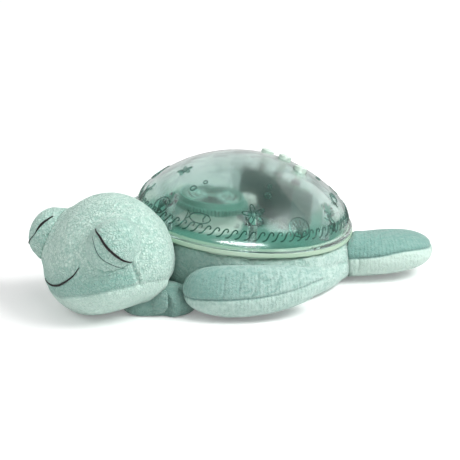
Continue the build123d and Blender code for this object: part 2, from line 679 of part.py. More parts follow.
def make_lamp_housing():
    """White lamp tower with a flange, a lens seat and a collar that carries the ripple rotor."""
    bore = LAMP_TUBE_RADIUS - LAMP_TUBE_WALL
    collar = LAMP_TUBE_RADIUS + COLLAR_REACH
    flange_top = DECK_TOP + LAMP_FLANGE_THICKNESS
    housing = turned_polygon([
        (bore, DECK_TOP), (LAMP_FLANGE_RADIUS, DECK_TOP), (LAMP_FLANGE_RADIUS, flange_top),
        (LAMP_TUBE_RADIUS, flange_top), (LAMP_TUBE_RADIUS, COLLAR_TOP - COLLAR_THICKNESS),
        (collar, COLLAR_TOP - COLLAR_THICKNESS), (collar, COLLAR_TOP), (LAMP_TUBE_RADIUS, COLLAR_TOP),
        (LAMP_TUBE_RADIUS, DECK_TOP + LAMP_TUBE_HEIGHT), (bore, DECK_TOP + LAMP_TUBE_HEIGHT),
        (bore, LENS_Z), (bore - LENS_SEAT_WIDTH, LENS_Z), (bore - LENS_SEAT_WIDTH, LENS_Z - LENS_SEAT_WIDTH),
        (bore, LENS_Z - LENS_SEAT_WIDTH)])
    housing = Pos(0, LAMP_Y, 0) * housing
    for x, y in lamp_screw_places():
        housing -= rod(SMALL_SCREW[0] + HOLE_CLEARANCE, DECK_TOP - CUT_OVERRUN, flange_top, x, y)
    return housing


def make_lens():
    """Plano-convex condenser lens on its seat."""
    radius = LAMP_TUBE_RADIUS - LAMP_TUBE_WALL - FACE_GAP
    edge_top = LENS_Z + LENS_EDGE
    top = edge_top + LENS_CROWN
    sphere = (radius**2 + LENS_CROWN**2) / (2 * LENS_CROWN)
    half = math.asin(radius / sphere) / 2
    middle = (sphere * math.sin(half), 0, top - sphere + sphere * math.cos(half))
    walls = Polyline((0, 0, top), (0, 0, LENS_Z), (radius, 0, LENS_Z), (radius, 0, edge_top))
    return Pos(0, LAMP_Y, 0) * turned([*walls.edges(), ThreePointArc((radius, 0, edge_top), middle, (0, 0, top))])


def make_leds():
    """Round-topped lamps on the lamp board."""
    base = DECK_TOP + BOARD_THICKNESS
    top = base + LED_BODY_HEIGHT
    return [rod(LED_RADIUS, base, top, x, y) + Pos(x, y, top) * Sphere(LED_RADIUS)
            for x, y in ring_places(LED_CIRCLE_RADIUS, LED_COUNT, 45.0, LAMP_Y)]


def gear_blank(teeth, turn_share=0.0):
    """A spur gear's outline face, turned by a share of one tooth."""
    pitch_radius = GEAR_MODULE * teeth / 2
    pressure = math.radians(PRESSURE_ANGLE_DEG)
    base_radius = pitch_radius * math.cos(pressure)
    root = pitch_radius - GEAR_MODULE * DEDENDUM_SHARE
    tip = pitch_radius + GEAR_MODULE * ADDENDUM_SHARE
    foot = max(root, base_radius)

    def half_angle(radius):
        angle = math.acos(min(1.0, base_radius / radius))
        opening = math.tan(pressure) - pressure - (math.tan(angle) - angle)
        return (math.pi * GEAR_MODULE / 2 - GEAR_BACKLASH / 2) / (2 * pitch_radius) + opening

    flank = [(root, half_angle(foot))] if root < foot else []
    flank += [(foot + (tip - foot) * s, half_angle(foot + (tip - foot) * s)) for s in FLANK_SHARES]
    points = []
    for tooth in range(teeth):
        middle = 2 * math.pi * (tooth + turn_share) / teeth
        points += [(r * math.cos(middle - a), r * math.sin(middle - a)) for r, a in flank]
        points += [(r * math.cos(middle + a), r * math.sin(middle + a)) for r, a in reversed(flank)]
    return make_face(Polyline(*points, close=True))


def make_ripple_gear():
    """Gear ring that turns around the lamp tower and holds the ripple disc."""
    bore = LAMP_TUBE_RADIUS + RUNNING_CLEARANCE
    seat = DISC_RADIUS + THREAD_CLEARANCE
    gear_top = GEAR_Z + GEAR_FACE
    teeth = Pos(0, 0, GEAR_Z) * extrude(gear_blank(GEAR_TEETH, 0.5), GEAR_FACE)
    teeth -= rod(bore, GEAR_Z - CUT_OVERRUN, gear_top + CUT_OVERRUN)
    rim = turned_polygon([
        (bore, gear_top), (seat + DISC_RIM_WALL, gear_top), (seat + DISC_RIM_WALL, DISC_Z + DISC_THICKNESS),
        (seat, DISC_Z + DISC_THICKNESS), (seat, DISC_Z), (bore, DISC_Z)])
    return Pos(0, LAMP_Y, 0) * (teeth + rim)


def make_ripple_disc():
    """Clear disc with rings of ripples that make the moving wave light."""
    step = DISC_RADIUS / (DISC_RIPPLE_COUNT + 1)
    top = DISC_Z + DISC_THICKNESS - DISC_RIPPLE_HEIGHT
    walls = Polyline((step, 0, top), (0, 0, top), (0, 0, DISC_Z), (DISC_RADIUS, 0, DISC_Z), (DISC_RADIUS, 0, top))
    edges = list(walls.edges())
    for i in range(DISC_RIPPLE_COUNT):
        outer = DISC_RADIUS - step * i
        crest = (outer - step / 2, 0, top + DISC_RIPPLE_HEIGHT)
        edges.append(ThreePointArc((outer, 0, top), crest, (outer - step, 0, top)))
    return Pos(0, LAMP_Y, 0) * turned(edges)


def make_motor():
    """Motor can, with a bore for its shaft."""
    top = DECK_TOP + MOTOR_HEIGHT
    bore = rod(SHAFT_RADIUS + RUNNING_CLEARANCE, top - MOTOR_BORE_DEPTH, top + CUT_OVERRUN)
    return Pos(0, MOTOR_Y, 0) * (rod(MOTOR_RADIUS, DECK_TOP, top) - bore)


def make_bracket():
    """Bridge over the motor, with a foot on each side."""
    top = DECK_TOP + MOTOR_HEIGHT + BRACKET_THICKNESS
    inside = MOTOR_RADIUS + BRACKET_SIDE_ROOM - BRACKET_THICKNESS
    outside = inside + BRACKET_THICKNESS
    foot_end = outside + BRACKET_FOOT
    points = [
        (-foot_end, DECK_TOP), (-inside, DECK_TOP), (-inside, top - BRACKET_THICKNESS),
        (inside, top - BRACKET_THICKNESS), (inside, DECK_TOP), (foot_end, DECK_TOP),
        (foot_end, DECK_TOP + BRACKET_THICKNESS), (outside, DECK_TOP + BRACKET_THICKNESS), (outside, top),
        (-outside, top), (-outside, DECK_TOP + BRACKET_THICKNESS), (-foot_end, DECK_TOP + BRACKET_THICKNESS)]
    face = make_face(Polyline(*[(x, 0, z) for x, z in points], close=True))
    bracket = Pos(0, MOTOR_Y, 0) * extrude(face, BRACKET_DEPTH / 2, dir=(0, 1, 0), both=True)
    bracket -= rod(SHAFT_RADIUS + RUNNING_CLEARANCE, DECK_TOP + MOTOR_HEIGHT, top + CUT_OVERRUN, y=MOTOR_Y)
    for x, y in bracket_screw_places():
        bracket -= rod(SMALL_SCREW[0] + HOLE_CLEARANCE, DECK_TOP - CUT_OVERRUN, top - BRACKET_THICKNESS, x, y)
    return bracket


def make_pinion():
    """Small gear on the motor's shaft."""
    pinion = extrude(gear_blank(PINION_TEETH, PINION_TEETH / 4), GEAR_FACE)
    pinion = Pos(0, MOTOR_Y, GEAR_Z) * pinion
    return pinion - rod(SHAFT_RADIUS + THREAD_CLEARANCE, GEAR_Z - CUT_OVERRUN, GEAR_Z + 2 * GEAR_FACE, y=MOTOR_Y)


def make_shaft():
    """The motor's shaft, from inside the can to just above the pinion."""
    bottom = DECK_TOP + MOTOR_HEIGHT - MOTOR_BORE_DEPTH + FACE_GAP
    return rod(SHAFT_RADIUS, bottom, GEAR_Z + GEAR_FACE + SHAFT_TIP, y=MOTOR_Y)


def make_speaker():
    """Speaker frame with screw ears, its paper cone and its magnet."""
    bottom = TUB_INSIDE + SPEAKER_BOSS_HEIGHT
    rim_top = bottom + SPEAKER_RIM_THICKNESS
    top = bottom + SPEAKER_DEPTH
    lip = SPEAKER_RADIUS - SPEAKER_RIM_THICKNESS
    frame = turned_polygon([
        (lip - SPEAKER_WALL, bottom), (SPEAKER_RADIUS, bottom), (SPEAKER_RADIUS, rim_top), (lip, rim_top),
        (MAGNET_RADIUS, top), (MAGNET_RADIUS / 2, top), (MAGNET_RADIUS / 2, top - SPEAKER_WALL),
        (MAGNET_RADIUS - SPEAKER_WALL, top - SPEAKER_WALL), (lip - SPEAKER_WALL, rim_top)])
    frame = Pos(0, SPEAKER_Y, 0) * frame
    inner = rod(lip, bottom, rim_top, y=SPEAKER_Y)
    for x, y in speaker_ear_places():
        frame += rod(SPEAKER_EAR_RADIUS, bottom, rim_top, x, y) - inner
    for x, y in speaker_ear_places():
        frame -= rod(SMALL_SCREW[0] + HOLE_CLEARANCE, bottom - CUT_OVERRUN, rim_top + CUT_OVERRUN, x, y)
    edge = lip - SPEAKER_WALL - FACE_GAP
    throat = MAGNET_RADIUS / 2
    cone_top = top - SPEAKER_WALL - FACE_GAP
    cone = turned_polygon([
        (edge, bottom), (edge, bottom + SPEAKER_CONE_WALL), (throat, cone_top), (0, cone_top),
        (0, cone_top - SPEAKER_CONE_WALL), (throat - SPEAKER_CONE_WALL, cone_top - SPEAKER_CONE_WALL),
        (edge - SPEAKER_CONE_WALL, bottom)])
    return frame, Pos(0, SPEAKER_Y, 0) * cone, rod(MAGNET_RADIUS, top, top + MAGNET_HEIGHT, y=SPEAKER_Y)


def make_cells():
    """Three AA cells side by side, the middle one the other way round."""
    cells = []
    plus = BAY_LENGTH / 2 - CONTACT_THICKNESS
    for i in range(CELL_COUNT):
        can = rod(CELL_RADIUS, plus - CELL_LENGTH, plus - CELL_NUB_LENGTH)
        cell = Rot(0, 90, 0) * (can + rod(CELL_NUB_RADIUS, plus - CELL_NUB_LENGTH, plus))
        y = BAY_Y + CELL_PITCH * (i - (CELL_COUNT - 1) / 2)
        cells.append(Pos(0, y, CELL_Z) * Rot(0, 0, 180 * (i % 2)) * cell)
    return cells


def make_contacts():
    """Flat contact plates at both ends of the bay, and bent leaf springs at the flat end of each cell."""
    plates, springs = [], []
    face = BAY_LENGTH / 2 - CONTACT_THICKNESS
    cell_end = CELL_LENGTH - face
    bend = (face - cell_end) / 2
    leaf = [(face, -CONTACT_HEIGHT / 2), (cell_end, 0), (face - bend, CONTACT_HEIGHT / 2)]
    leaf += [(x + SPRING_LEAF_THICKNESS, z) for x, z in reversed(leaf[1:])]
    for i in range(CELL_COUNT):
        place = Pos(0, BAY_Y + CELL_PITCH * (i - (CELL_COUNT - 1) / 2), CELL_Z) * Rot(0, 0, 180 * (i % 2))
        plate = Box(CONTACT_THICKNESS, CONTACT_WIDTH, CONTACT_HEIGHT)
        offset = BAY_LENGTH / 2 - CONTACT_THICKNESS / 2
        plates += [place * Pos(side * offset, 0, 0) * plate for side in (-1, 1)]
        outline = make_face(Polyline(*[(-x, 0, z) for x, z in leaf], close=True))
        springs.append(place * extrude(outline, CONTACT_WIDTH / 2, dir=(0, 1, 0), both=True))
    return plates, springs


def make_main_board():
    """Main board with holes over its posts."""
    board = block(BOARD_LENGTH, BOARD_WIDTH, BOARD_BOTTOM, BOARD_TOP, y=BAY_Y)
    for x, y in board_post_places():
        board -= rod(SMALL_SCREW[0] + HOLE_CLEARANCE, BOARD_BOTTOM - CUT_OVERRUN, BOARD_TOP + CUT_OVERRUN, x, y)
    return board


def make_chip():
    """Sound chip on the main board."""
    return block(CHIP_SIDE, CHIP_SIDE, BOARD_TOP, BOARD_TOP + CHIP_HEIGHT, BOARD_LENGTH * CHIP_PLACE_SHARE, BAY_Y)


def make_capacitors():
    """Capacitors lying on the main board."""
    can = Rot(0, 90, 0) * Cylinder(CAPACITOR_RADIUS, CAPACITOR_LENGTH)
    return [Pos(BOARD_LENGTH * x, BAY_Y + BOARD_WIDTH * y, BOARD_TOP + CAPACITOR_RADIUS) * can
            for x, y in CAPACITOR_PLACE_SHARES]


def make_pod():
    """Hollow control pod, its top sloped along the dome, with a hole for the control lead."""
    slope = CONTROL_BOARD_TOP - BOARD_THICKNESS
    length = CONTROL_BOARD_LENGTH + 2 * POD_MARGIN
    width = CONTROL_BOARD_WIDTH + 2 * POD_MARGIN
    far = 2 * DOME_RADIUS
    outside = block(length, width, DECK_TOP, DOME_HEIGHT, y=POD_Y)
    outside -= CONTROL * block(far, far, slope, slope + far)
    inside = block(length - 2 * POD_WALL, width - 2 * POD_WALL, DECK_TOP - CUT_OVERRUN, DOME_HEIGHT, y=POD_Y)
    inside -= CONTROL * block(far, far, slope - POD_WALL, slope + far)
    pod = outside - inside
    pod -= rod(CONTROL_LEAD_RADIUS + LEAD_HOLE_CLEARANCE, DECK_TOP, DOME_HEIGHT, y=POD_Y)
    for x in control_screw_xs():
        bottom = CONTROL_BOARD_TOP - SMALL_SCREW[3] - CUT_OVERRUN
        pod -= CONTROL * rod(SMALL_SCREW[0] + THREAD_CLEARANCE, bottom, slope + CUT_OVERRUN, x)
    return pod


def control_screw_xs():
    """Places of the control board's screws, midway between the buttons."""
    return [BUTTON_XS[0] + BUTTON_PITCH / 2, BUTTON_XS[-1] - BUTTON_PITCH / 2]


def make_control_board():
    """Small sloped board that carries the switches."""
    bottom = CONTROL_BOARD_TOP - BOARD_THICKNESS
    board = block(CONTROL_BOARD_LENGTH, CONTROL_BOARD_WIDTH, bottom, CONTROL_BOARD_TOP)
    for x in control_screw_xs():
        board -= rod(SMALL_SCREW[0] + HOLE_CLEARANCE, bottom - CUT_OVERRUN, CONTROL_BOARD_TOP + CUT_OVERRUN, x)
    return CONTROL * board


def make_switch(x):
    """Switch body with a well for its plunger."""
    top = CONTROL_BOARD_TOP + SWITCH_HEIGHT
    body = block(SWITCH_SIDE, SWITCH_SIDE, CONTROL_BOARD_TOP, top, x)
    well = rod(PLUNGER_RADIUS + RUNNING_CLEARANCE, CONTROL_BOARD_TOP + SWITCH_BASE, top + CUT_OVERRUN, x)
    return CONTROL * (body - well)


def make_plunger(x):
    """Switch plunger under a button's stem."""
    return CONTROL * rod(PLUNGER_RADIUS, PLUNGER_TOP - PLUNGER_PROUD - PLUNGER_INSIDE, PLUNGER_TOP, x)


def make_button(x):
    """Round button with a crowned top, a flange behind the dome and a stem down to its switch."""
    surface = math.sqrt(CROWN_RADIUS**2 - x**2)
    reach = BUTTON_RADIUS + BUTTON_FLANGE_REACH
    flange_top = math.sqrt(INNER_CROWN_RADIUS**2 - (abs(x) + reach)**2) - FACE_GAP
    flange_bottom = flange_top - BUTTON_FLANGE_THICKNESS
    top = surface + BUTTON_PROUD
    side_top = top - BUTTON_CROWN
    sphere = (BUTTON_RADIUS**2 + BUTTON_CROWN**2) / (2 * BUTTON_CROWN)
    half = math.asin(BUTTON_RADIUS / sphere) / 2
    middle = (sphere * math.sin(half), 0, top - sphere + sphere * math.cos(half))
    walls = Polyline(
        (0, 0, top), (0, 0, PLUNGER_TOP), (BUTTON_STEM_RADIUS, 0, PLUNGER_TOP),
        (BUTTON_STEM_RADIUS, 0, flange_bottom), (reach, 0, flange_bottom), (reach, 0, flange_top),
        (BUTTON_RADIUS, 0, flange_top), (BUTTON_RADIUS, 0, side_top))
    crown = ThreePointArc((BUTTON_RADIUS, 0, side_top), middle, (0, 0, top))
    return CONTROL * Pos(x, 0, 0) * turned([*walls.edges(), crown])


def make_control_lead():
    """Straight bundle from the main board up to the control board's underside."""
    bundle = rod(CONTROL_LEAD_RADIUS, BOARD_TOP, DOME_HEIGHT, y=POD_Y)
    far = 2 * DOME_RADIUS
    slope = CONTROL_BOARD_TOP - BOARD_THICKNESS
    return bundle - CONTROL * block(far, far, slope, slope + far)


def make_connector():
    """Block at the main board's front edge that takes the lamp and speaker leads."""
    y = BOARD_FRONT + CONNECTOR_DEPTH / 2
    return block(CONNECTOR_LENGTH, CONNECTOR_DEPTH, BOARD_TOP, LEAD_LEVEL + 2 * LEAD_RADIUS, y=y)


def make_lamp_leads():
    """Two leads from the lamp board, down through the deck and along to the connector."""
    return [lead([(x, y, DECK_TOP), (x, y, LEAD_LEVEL), (x, BOARD_FRONT, LEAD_LEVEL)])
            for x, y in lamp_lead_places()]


def make_speaker_leads():
    """Two leads from the speaker's back to the connector, outside the lamp leads."""
    x, y = 3 * LEAD_SPACING, SPEAKER_Y + MAGNET_RADIUS / 2
    back = TUB_INSIDE + SPEAKER_BOSS_HEIGHT + SPEAKER_DEPTH + MAGNET_HEIGHT
    return [lead([(side * x, y, back), (side * x, y, LEAD_LEVEL), (side * x, BOARD_FRONT, LEAD_LEVEL)])
            for side in (-1, 1)]


def plush_pocket():
    """Room in the plush for the tub, its flange and the case screws' heads, and the belly opening."""
    gap = FACE_GAP
    flange_room = TUB_FLANGE_BOTTOM - gap
    head_room = flange_room - CASE_SCREW[2]
    head_radius = BOSS_CIRCLE_RADIUS + CASE_SCREW[1] + gap
    slope = (TUB_TOP_RADIUS - TUB_FLOOR_RADIUS) / (TUB_DEPTH + TUB_FLANGE_BOTTOM)
    wall_radius = TUB_TOP_RADIUS + gap - slope * (TUB_FLANGE_BOTTOM - head_room)
    pocket = turned_polygon([
        (0, DECK_TOP), (TUB_FLANGE_RADIUS + gap, DECK_TOP), (TUB_FLANGE_RADIUS + gap, flange_room),
        (head_radius, flange_room), (head_radius, head_room), (wall_radius, head_room),
        (TUB_FLOOR_RADIUS + gap, -TUB_DEPTH), (TUB_FLOOR_RADIUS + gap, -TUB_DEPTH - gap),
        (0, -TUB_DEPTH - gap)])
    return SHELL * (pocket + rod(BELLY_OPENING_RADIUS, -2 * TUB_DEPTH, -TUB_DEPTH))


os.makedirs("parts", exist_ok=True)

# Plush pieces, each cut by the larger ones
body_cutter = body_form(SEAM_GAP)
head_cutter = head_form(SEAM_GAP)
shell_cutter = shell_envelope(SEAM_GAP)
ground = ground_cut()
save("plush_body", [body_form() - plush_pocket()])
save("plush_head", [head_form() - body_cutter - shell_cutter - ground])
save("plush_neck", [neck_form() - body_cutter - shell_cutter - head_cutter - root_room() - ground])
save("left_eyelid", [HEAD_POSE * eyelid_form() - head_cutter])
save("right_eyelid", [HEAD_POSE * mirror(eyelid_form(), about=Plane.YZ) - head_cutter])
save_pair("front_flipper", front_flipper_form() - body_cutter - shell_cutter - head_cutter - ground)
save_pair("rear_flipper", rear_flipper_form() - body_cutter - shell_cutter - ground)

# Shell and base
save("shell_dome", [SHELL * make_dome()])
save("trim_ring", [SHELL * make_trim_ring()])
save("base_tub", [SHELL * make_tub()])
save("lamp_deck", [SHELL * make_deck()])
save("case_screws", [SHELL * screw(CASE_SCREW, x, y, TUB_FLANGE_BOTTOM)
                     for x, y in ring_places(BOSS_CIRCLE_RADIUS, BOSS_COUNT)])

# Power and sound
for number, cell in enumerate(make_cells(), 1):
    save(f"battery_cell_{number}", [SHELL * cell])
contact_plates, contact_springs = make_contacts()
save("contact_plates", [SHELL * plate for plate in contact_plates])
save("contact_springs", [SHELL * spring for spring in contact_springs])
save("battery_door", [SHELL * make_door()])
save("battery_door_screw", [SHELL * screw(DOOR_SCREW, 0, DOOR_SCREW_Y, -TUB_DEPTH)])
speaker_frame, speaker_cone, speaker_magnet = make_speaker()
save("speaker_frame", [SHELL * speaker_frame])
save("speaker_cone", [SHELL * speaker_cone])
save("speaker_magnet", [SHELL * speaker_magnet])
speaker_seat = TUB_INSIDE + SPEAKER_BOSS_HEIGHT + SPEAKER_RIM_THICKNESS
speaker_screw = SMALL_SCREW[:3] + (SPEAKER_RIM_THICKNESS + SPEAKER_BOSS_HEIGHT + TUB_FLOOR / 2 - THREAD_CLEARANCE,)
save("speaker_screws", [SHELL * screw(speaker_screw, x, y, speaker_seat, up=False) for x, y in speaker_ear_places()])
save("main_board", [SHELL * make_main_board()])
save("board_chip", [SHELL * make_chip()])
save("board_capacitors", [SHELL * can for can in make_capacitors()])
save("board_connector", [SHELL * make_connector()])
save("board_screws", [SHELL * screw(SMALL_SCREW, x, y, BOARD_TOP, up=False) for x, y in board_post_places()])

# Lamp and drive
save("lamp_housing", [SHELL * make_lamp_housing()])
save("lamp_board", [SHELL * rod(LAMP_BOARD_RADIUS, DECK_TOP, DECK_TOP + BOARD_THICKNESS, y=LAMP_Y)])
save("lamp_leds", [SHELL * led for led in make_leds()])
save("condenser_lens", [SHELL * make_lens()])
flange_screw = SMALL_SCREW[:3] + (LAMP_FLANGE_THICKNESS + DECK_THICKNESS,)
save("lamp_screws", [SHELL * screw(flange_screw, x, y, DECK_TOP + LAMP_FLANGE_THICKNESS, up=False)
                     for x, y in lamp_screw_places()])
save("ripple_gear", [SHELL * make_ripple_gear()])
save("ripple_disc", [SHELL * make_ripple_disc()])
save("motor_can", [SHELL * make_motor()])
save("motor_bracket", [SHELL * make_bracket()])
foot_screw = SMALL_SCREW[:3] + (BRACKET_THICKNESS + DECK_THICKNESS,)
save("bracket_screws", [SHELL * screw(foot_screw, x, y, DECK_TOP + BRACKET_THICKNESS, up=False)
                        for x, y in bracket_screw_places()])
save("motor_pinion", [SHELL * make_pinion()])
save("motor_shaft", [SHELL * make_shaft()])

# Controls
save("control_pod", [SHELL * make_pod()])
save("control_board", [SHELL * make_control_board()])
save("control_screws", [SHELL * CONTROL * screw(SMALL_SCREW, x, 0, CONTROL_BOARD_TOP, up=False)
                        for x in control_screw_xs()])
save("control_switches", [SHELL * make_switch(x) for x in BUTTON_XS])
for name, x in zip(("sound", "light", "motion"), BUTTON_XS):
    save(f"{name}_button", [SHELL * make_button(x)])
    save(f"{name}_plunger", [SHELL * make_plunger(x)])

# Internal leads
save("control_lead", [SHELL * make_control_lead()])
save("lamp_leads", [SHELL * wire for wire in make_lamp_leads()])
save("speaker_leads", [SHELL * wire for wire in make_speaker_leads()])
save("motor_leads", [SHELL * rod(LEAD_RADIUS, BOARD_TOP, DECK_TOP, x, y) for x, y in motor_lead_places()])
save("battery_leads", [SHELL * rod(LEAD_RADIUS, BAY_CEILING, BOARD_BOTTOM, x, y) for x, y in battery_lead_places()])

# Joint places, for the record
button_way = (SHELL * CONTROL * Pos(0, 0, -1)).position - (SHELL * CONTROL).position
unit_up = (SHELL * Pos(0, 0, 1)).position - SHELL.position
print("button press way", button_way)
print("lamp unit up", unit_up)
print("ripple axis", (SHELL * Pos(0, LAMP_Y, GEAR_Z)).position)
print("motor axis", (SHELL * Pos(0, MOTOR_Y, GEAR_Z)).position)
print("door", (SHELL * Pos(0, BAY_Y, -TUB_DEPTH)).position)
for x in BUTTON_XS:
    print("button", (SHELL * CONTROL * Pos(x, 0, CROWN_RADIUS)).position)
print("front flipper pivot", front_pivots()[0], "swing", FRONT_SWING_DEG)
rear_splay = math.radians(REAR_SPLAY_DEG)
rear_pivot = (REAR_ROOT_X + REAR_PIVOT_REACH * math.sin(rear_splay),
              SHELL_Y + REAR_ROOT_Y + REAR_PIVOT_REACH * math.cos(rear_splay),
              REAR_CENTRE_HEIGHT + REAR_THICKNESS / 2)
print("rear flipper pivot", rear_pivot, "lift", REAR_LIFT_DEG, "button travel", BUTTON_TRAVEL)
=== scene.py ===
"""Looks of a plush turtle night light: stuffed velour turtle, clear domed shell, lamp unit inside."""

import json
import logging
import math
from dataclasses import dataclass, field
from enum import Enum

import bpy
import numpy as np
from mathutils import Matrix, Vector
from mathutils.bvhtree import BVHTree
from mathutils.kdtree import KDTree

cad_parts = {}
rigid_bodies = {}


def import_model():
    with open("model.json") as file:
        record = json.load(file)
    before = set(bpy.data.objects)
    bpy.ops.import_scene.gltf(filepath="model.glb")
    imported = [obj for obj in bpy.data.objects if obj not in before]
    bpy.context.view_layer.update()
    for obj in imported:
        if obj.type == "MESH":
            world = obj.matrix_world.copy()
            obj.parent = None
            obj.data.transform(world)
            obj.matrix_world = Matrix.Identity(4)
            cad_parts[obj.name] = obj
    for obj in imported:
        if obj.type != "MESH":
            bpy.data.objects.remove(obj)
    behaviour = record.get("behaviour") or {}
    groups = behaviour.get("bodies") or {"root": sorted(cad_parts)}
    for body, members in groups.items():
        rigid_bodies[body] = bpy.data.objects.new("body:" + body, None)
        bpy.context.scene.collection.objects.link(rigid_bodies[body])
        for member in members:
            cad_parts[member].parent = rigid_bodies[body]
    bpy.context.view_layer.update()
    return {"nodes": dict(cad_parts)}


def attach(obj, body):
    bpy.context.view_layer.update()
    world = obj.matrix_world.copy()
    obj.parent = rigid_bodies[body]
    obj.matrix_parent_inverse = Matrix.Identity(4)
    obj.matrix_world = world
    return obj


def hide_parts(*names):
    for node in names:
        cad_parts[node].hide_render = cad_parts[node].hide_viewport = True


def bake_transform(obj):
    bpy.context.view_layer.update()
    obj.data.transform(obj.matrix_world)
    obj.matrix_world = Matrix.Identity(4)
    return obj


LOG = logging.getLogger("turtle")
ROOT = "turtle"
MM = 0.001
WELD = 0.00001
GROUND = 0.0002
SWELL_FRAMES = 20
SMOOTH_ANGLE_DEG = 35.0
Line = np.ndarray
Point = tuple[float, float, float]
Route = tuple[Point, ...]
Colour = tuple[float, float, float, float]


class Side(Enum):
    """The turtle's own left and right, with the sign of X on each."""

    LEFT = 1
    RIGHT = -1

    @property
    def word(self) -> str:
        """The side's word in node names."""
        return self.name.lower()


class Shading(Enum):
    """How a piece's faces are shaded."""

    SMOOTH = "smooth"
    BY_ANGLE = "by_angle"


def srgb(red: float, green: float, blue: float) -> Colour:
    """Turn an sRGB colour of 0 to 255 into a linear colour.

    Args:
        red: red, 0 to 255.
        green: green, 0 to 255.
        blue: blue, 0 to 255.

    Returns:
        The linear colour with an alpha of 1.
    """
    def one(value: float) -> float:
        """One channel, made linear."""
        share = value / 255.0
        return share / 12.92 if share <= 0.04045 else ((share + 0.055) / 1.055) ** 2.4
    return one(red), one(green), one(blue), 1.0


class Graph:
    """A small helper that adds and links shader nodes in one tree."""

    def __init__(self, tree: bpy.types.NodeTree) -> None:
        """Keep the tree."""
        self.tree = tree

    def add(self, kind: str, **values: object) -> bpy.types.Node:
        """Add a node and set its properties or inputs.

        Args:
            kind: the node's Blender type.
            values: property values, or input values with their name's spaces as underscores.

        Returns:
            The new node.
        """
        node = self.tree.nodes.new(kind)
        for name, value in values.items():
            if hasattr(node, name) and name not in node.inputs:
                setattr(node, name, value)
            else:
                self.put(node, name.replace("_", " "), value)
        return node

    def put(self, node: bpy.types.Node, name: object, value: object) -> None:
        """Set or link one input of a node.

        Args:
            node: the node.
            name: the input's name or number.
            value: a plain value, or a socket to link.
        """
        socket = node.inputs[name]
        if isinstance(value, bpy.types.NodeSocket):
            self.tree.links.new(value, socket)
        else:
            socket.default_value = value

    def math(self, operation: str, *values: object) -> bpy.types.NodeSocket:
        """Add a math node.

        Args:
            operation: the math node's operation.
            values: up to three numbers or sockets.

        Returns:
            The result's socket.
        """
        node = self.tree.nodes.new("ShaderNodeMath")
        node.operation = operation
        for index, value in enumerate(values):
            self.put(node, index, value)
        return node.outputs[0]

    def mix(self, share: object, first: object, second: object) -> bpy.types.NodeSocket:
        """Mix two colours.

        Args:
            share: how much of the second colour shows.
            first: the first colour.
            second: the second colour.

        Returns:
            The mixed colour's socket.
        """
        node = self.tree.nodes.new("ShaderNodeMix")
        node.data_type = "RGBA"
        self.put(node, 0, share)
        self.put(node, 6, first)
        self.put(node, 7, second)
        return node.outputs[2]

    def spread(self, value: object, low: float, high: float, to_low: float,
               to_high: float) -> bpy.types.NodeSocket:
        """Map a value from one range to another, clamped and smooth.

        Args:
            value: the value's socket.
            low: the start of the range.
            high: the end of the range.
            to_low: what the start becomes.
            to_high: what the end becomes.

        Returns:
            The mapped value's socket.
        """
        node = self.tree.nodes.new("ShaderNodeMapRange")
        node.interpolation_type = "SMOOTHSTEP"
        for index, number in enumerate((value, low, high, to_low, to_high)):
            self.put(node, index, number)
        return node.outputs[0]


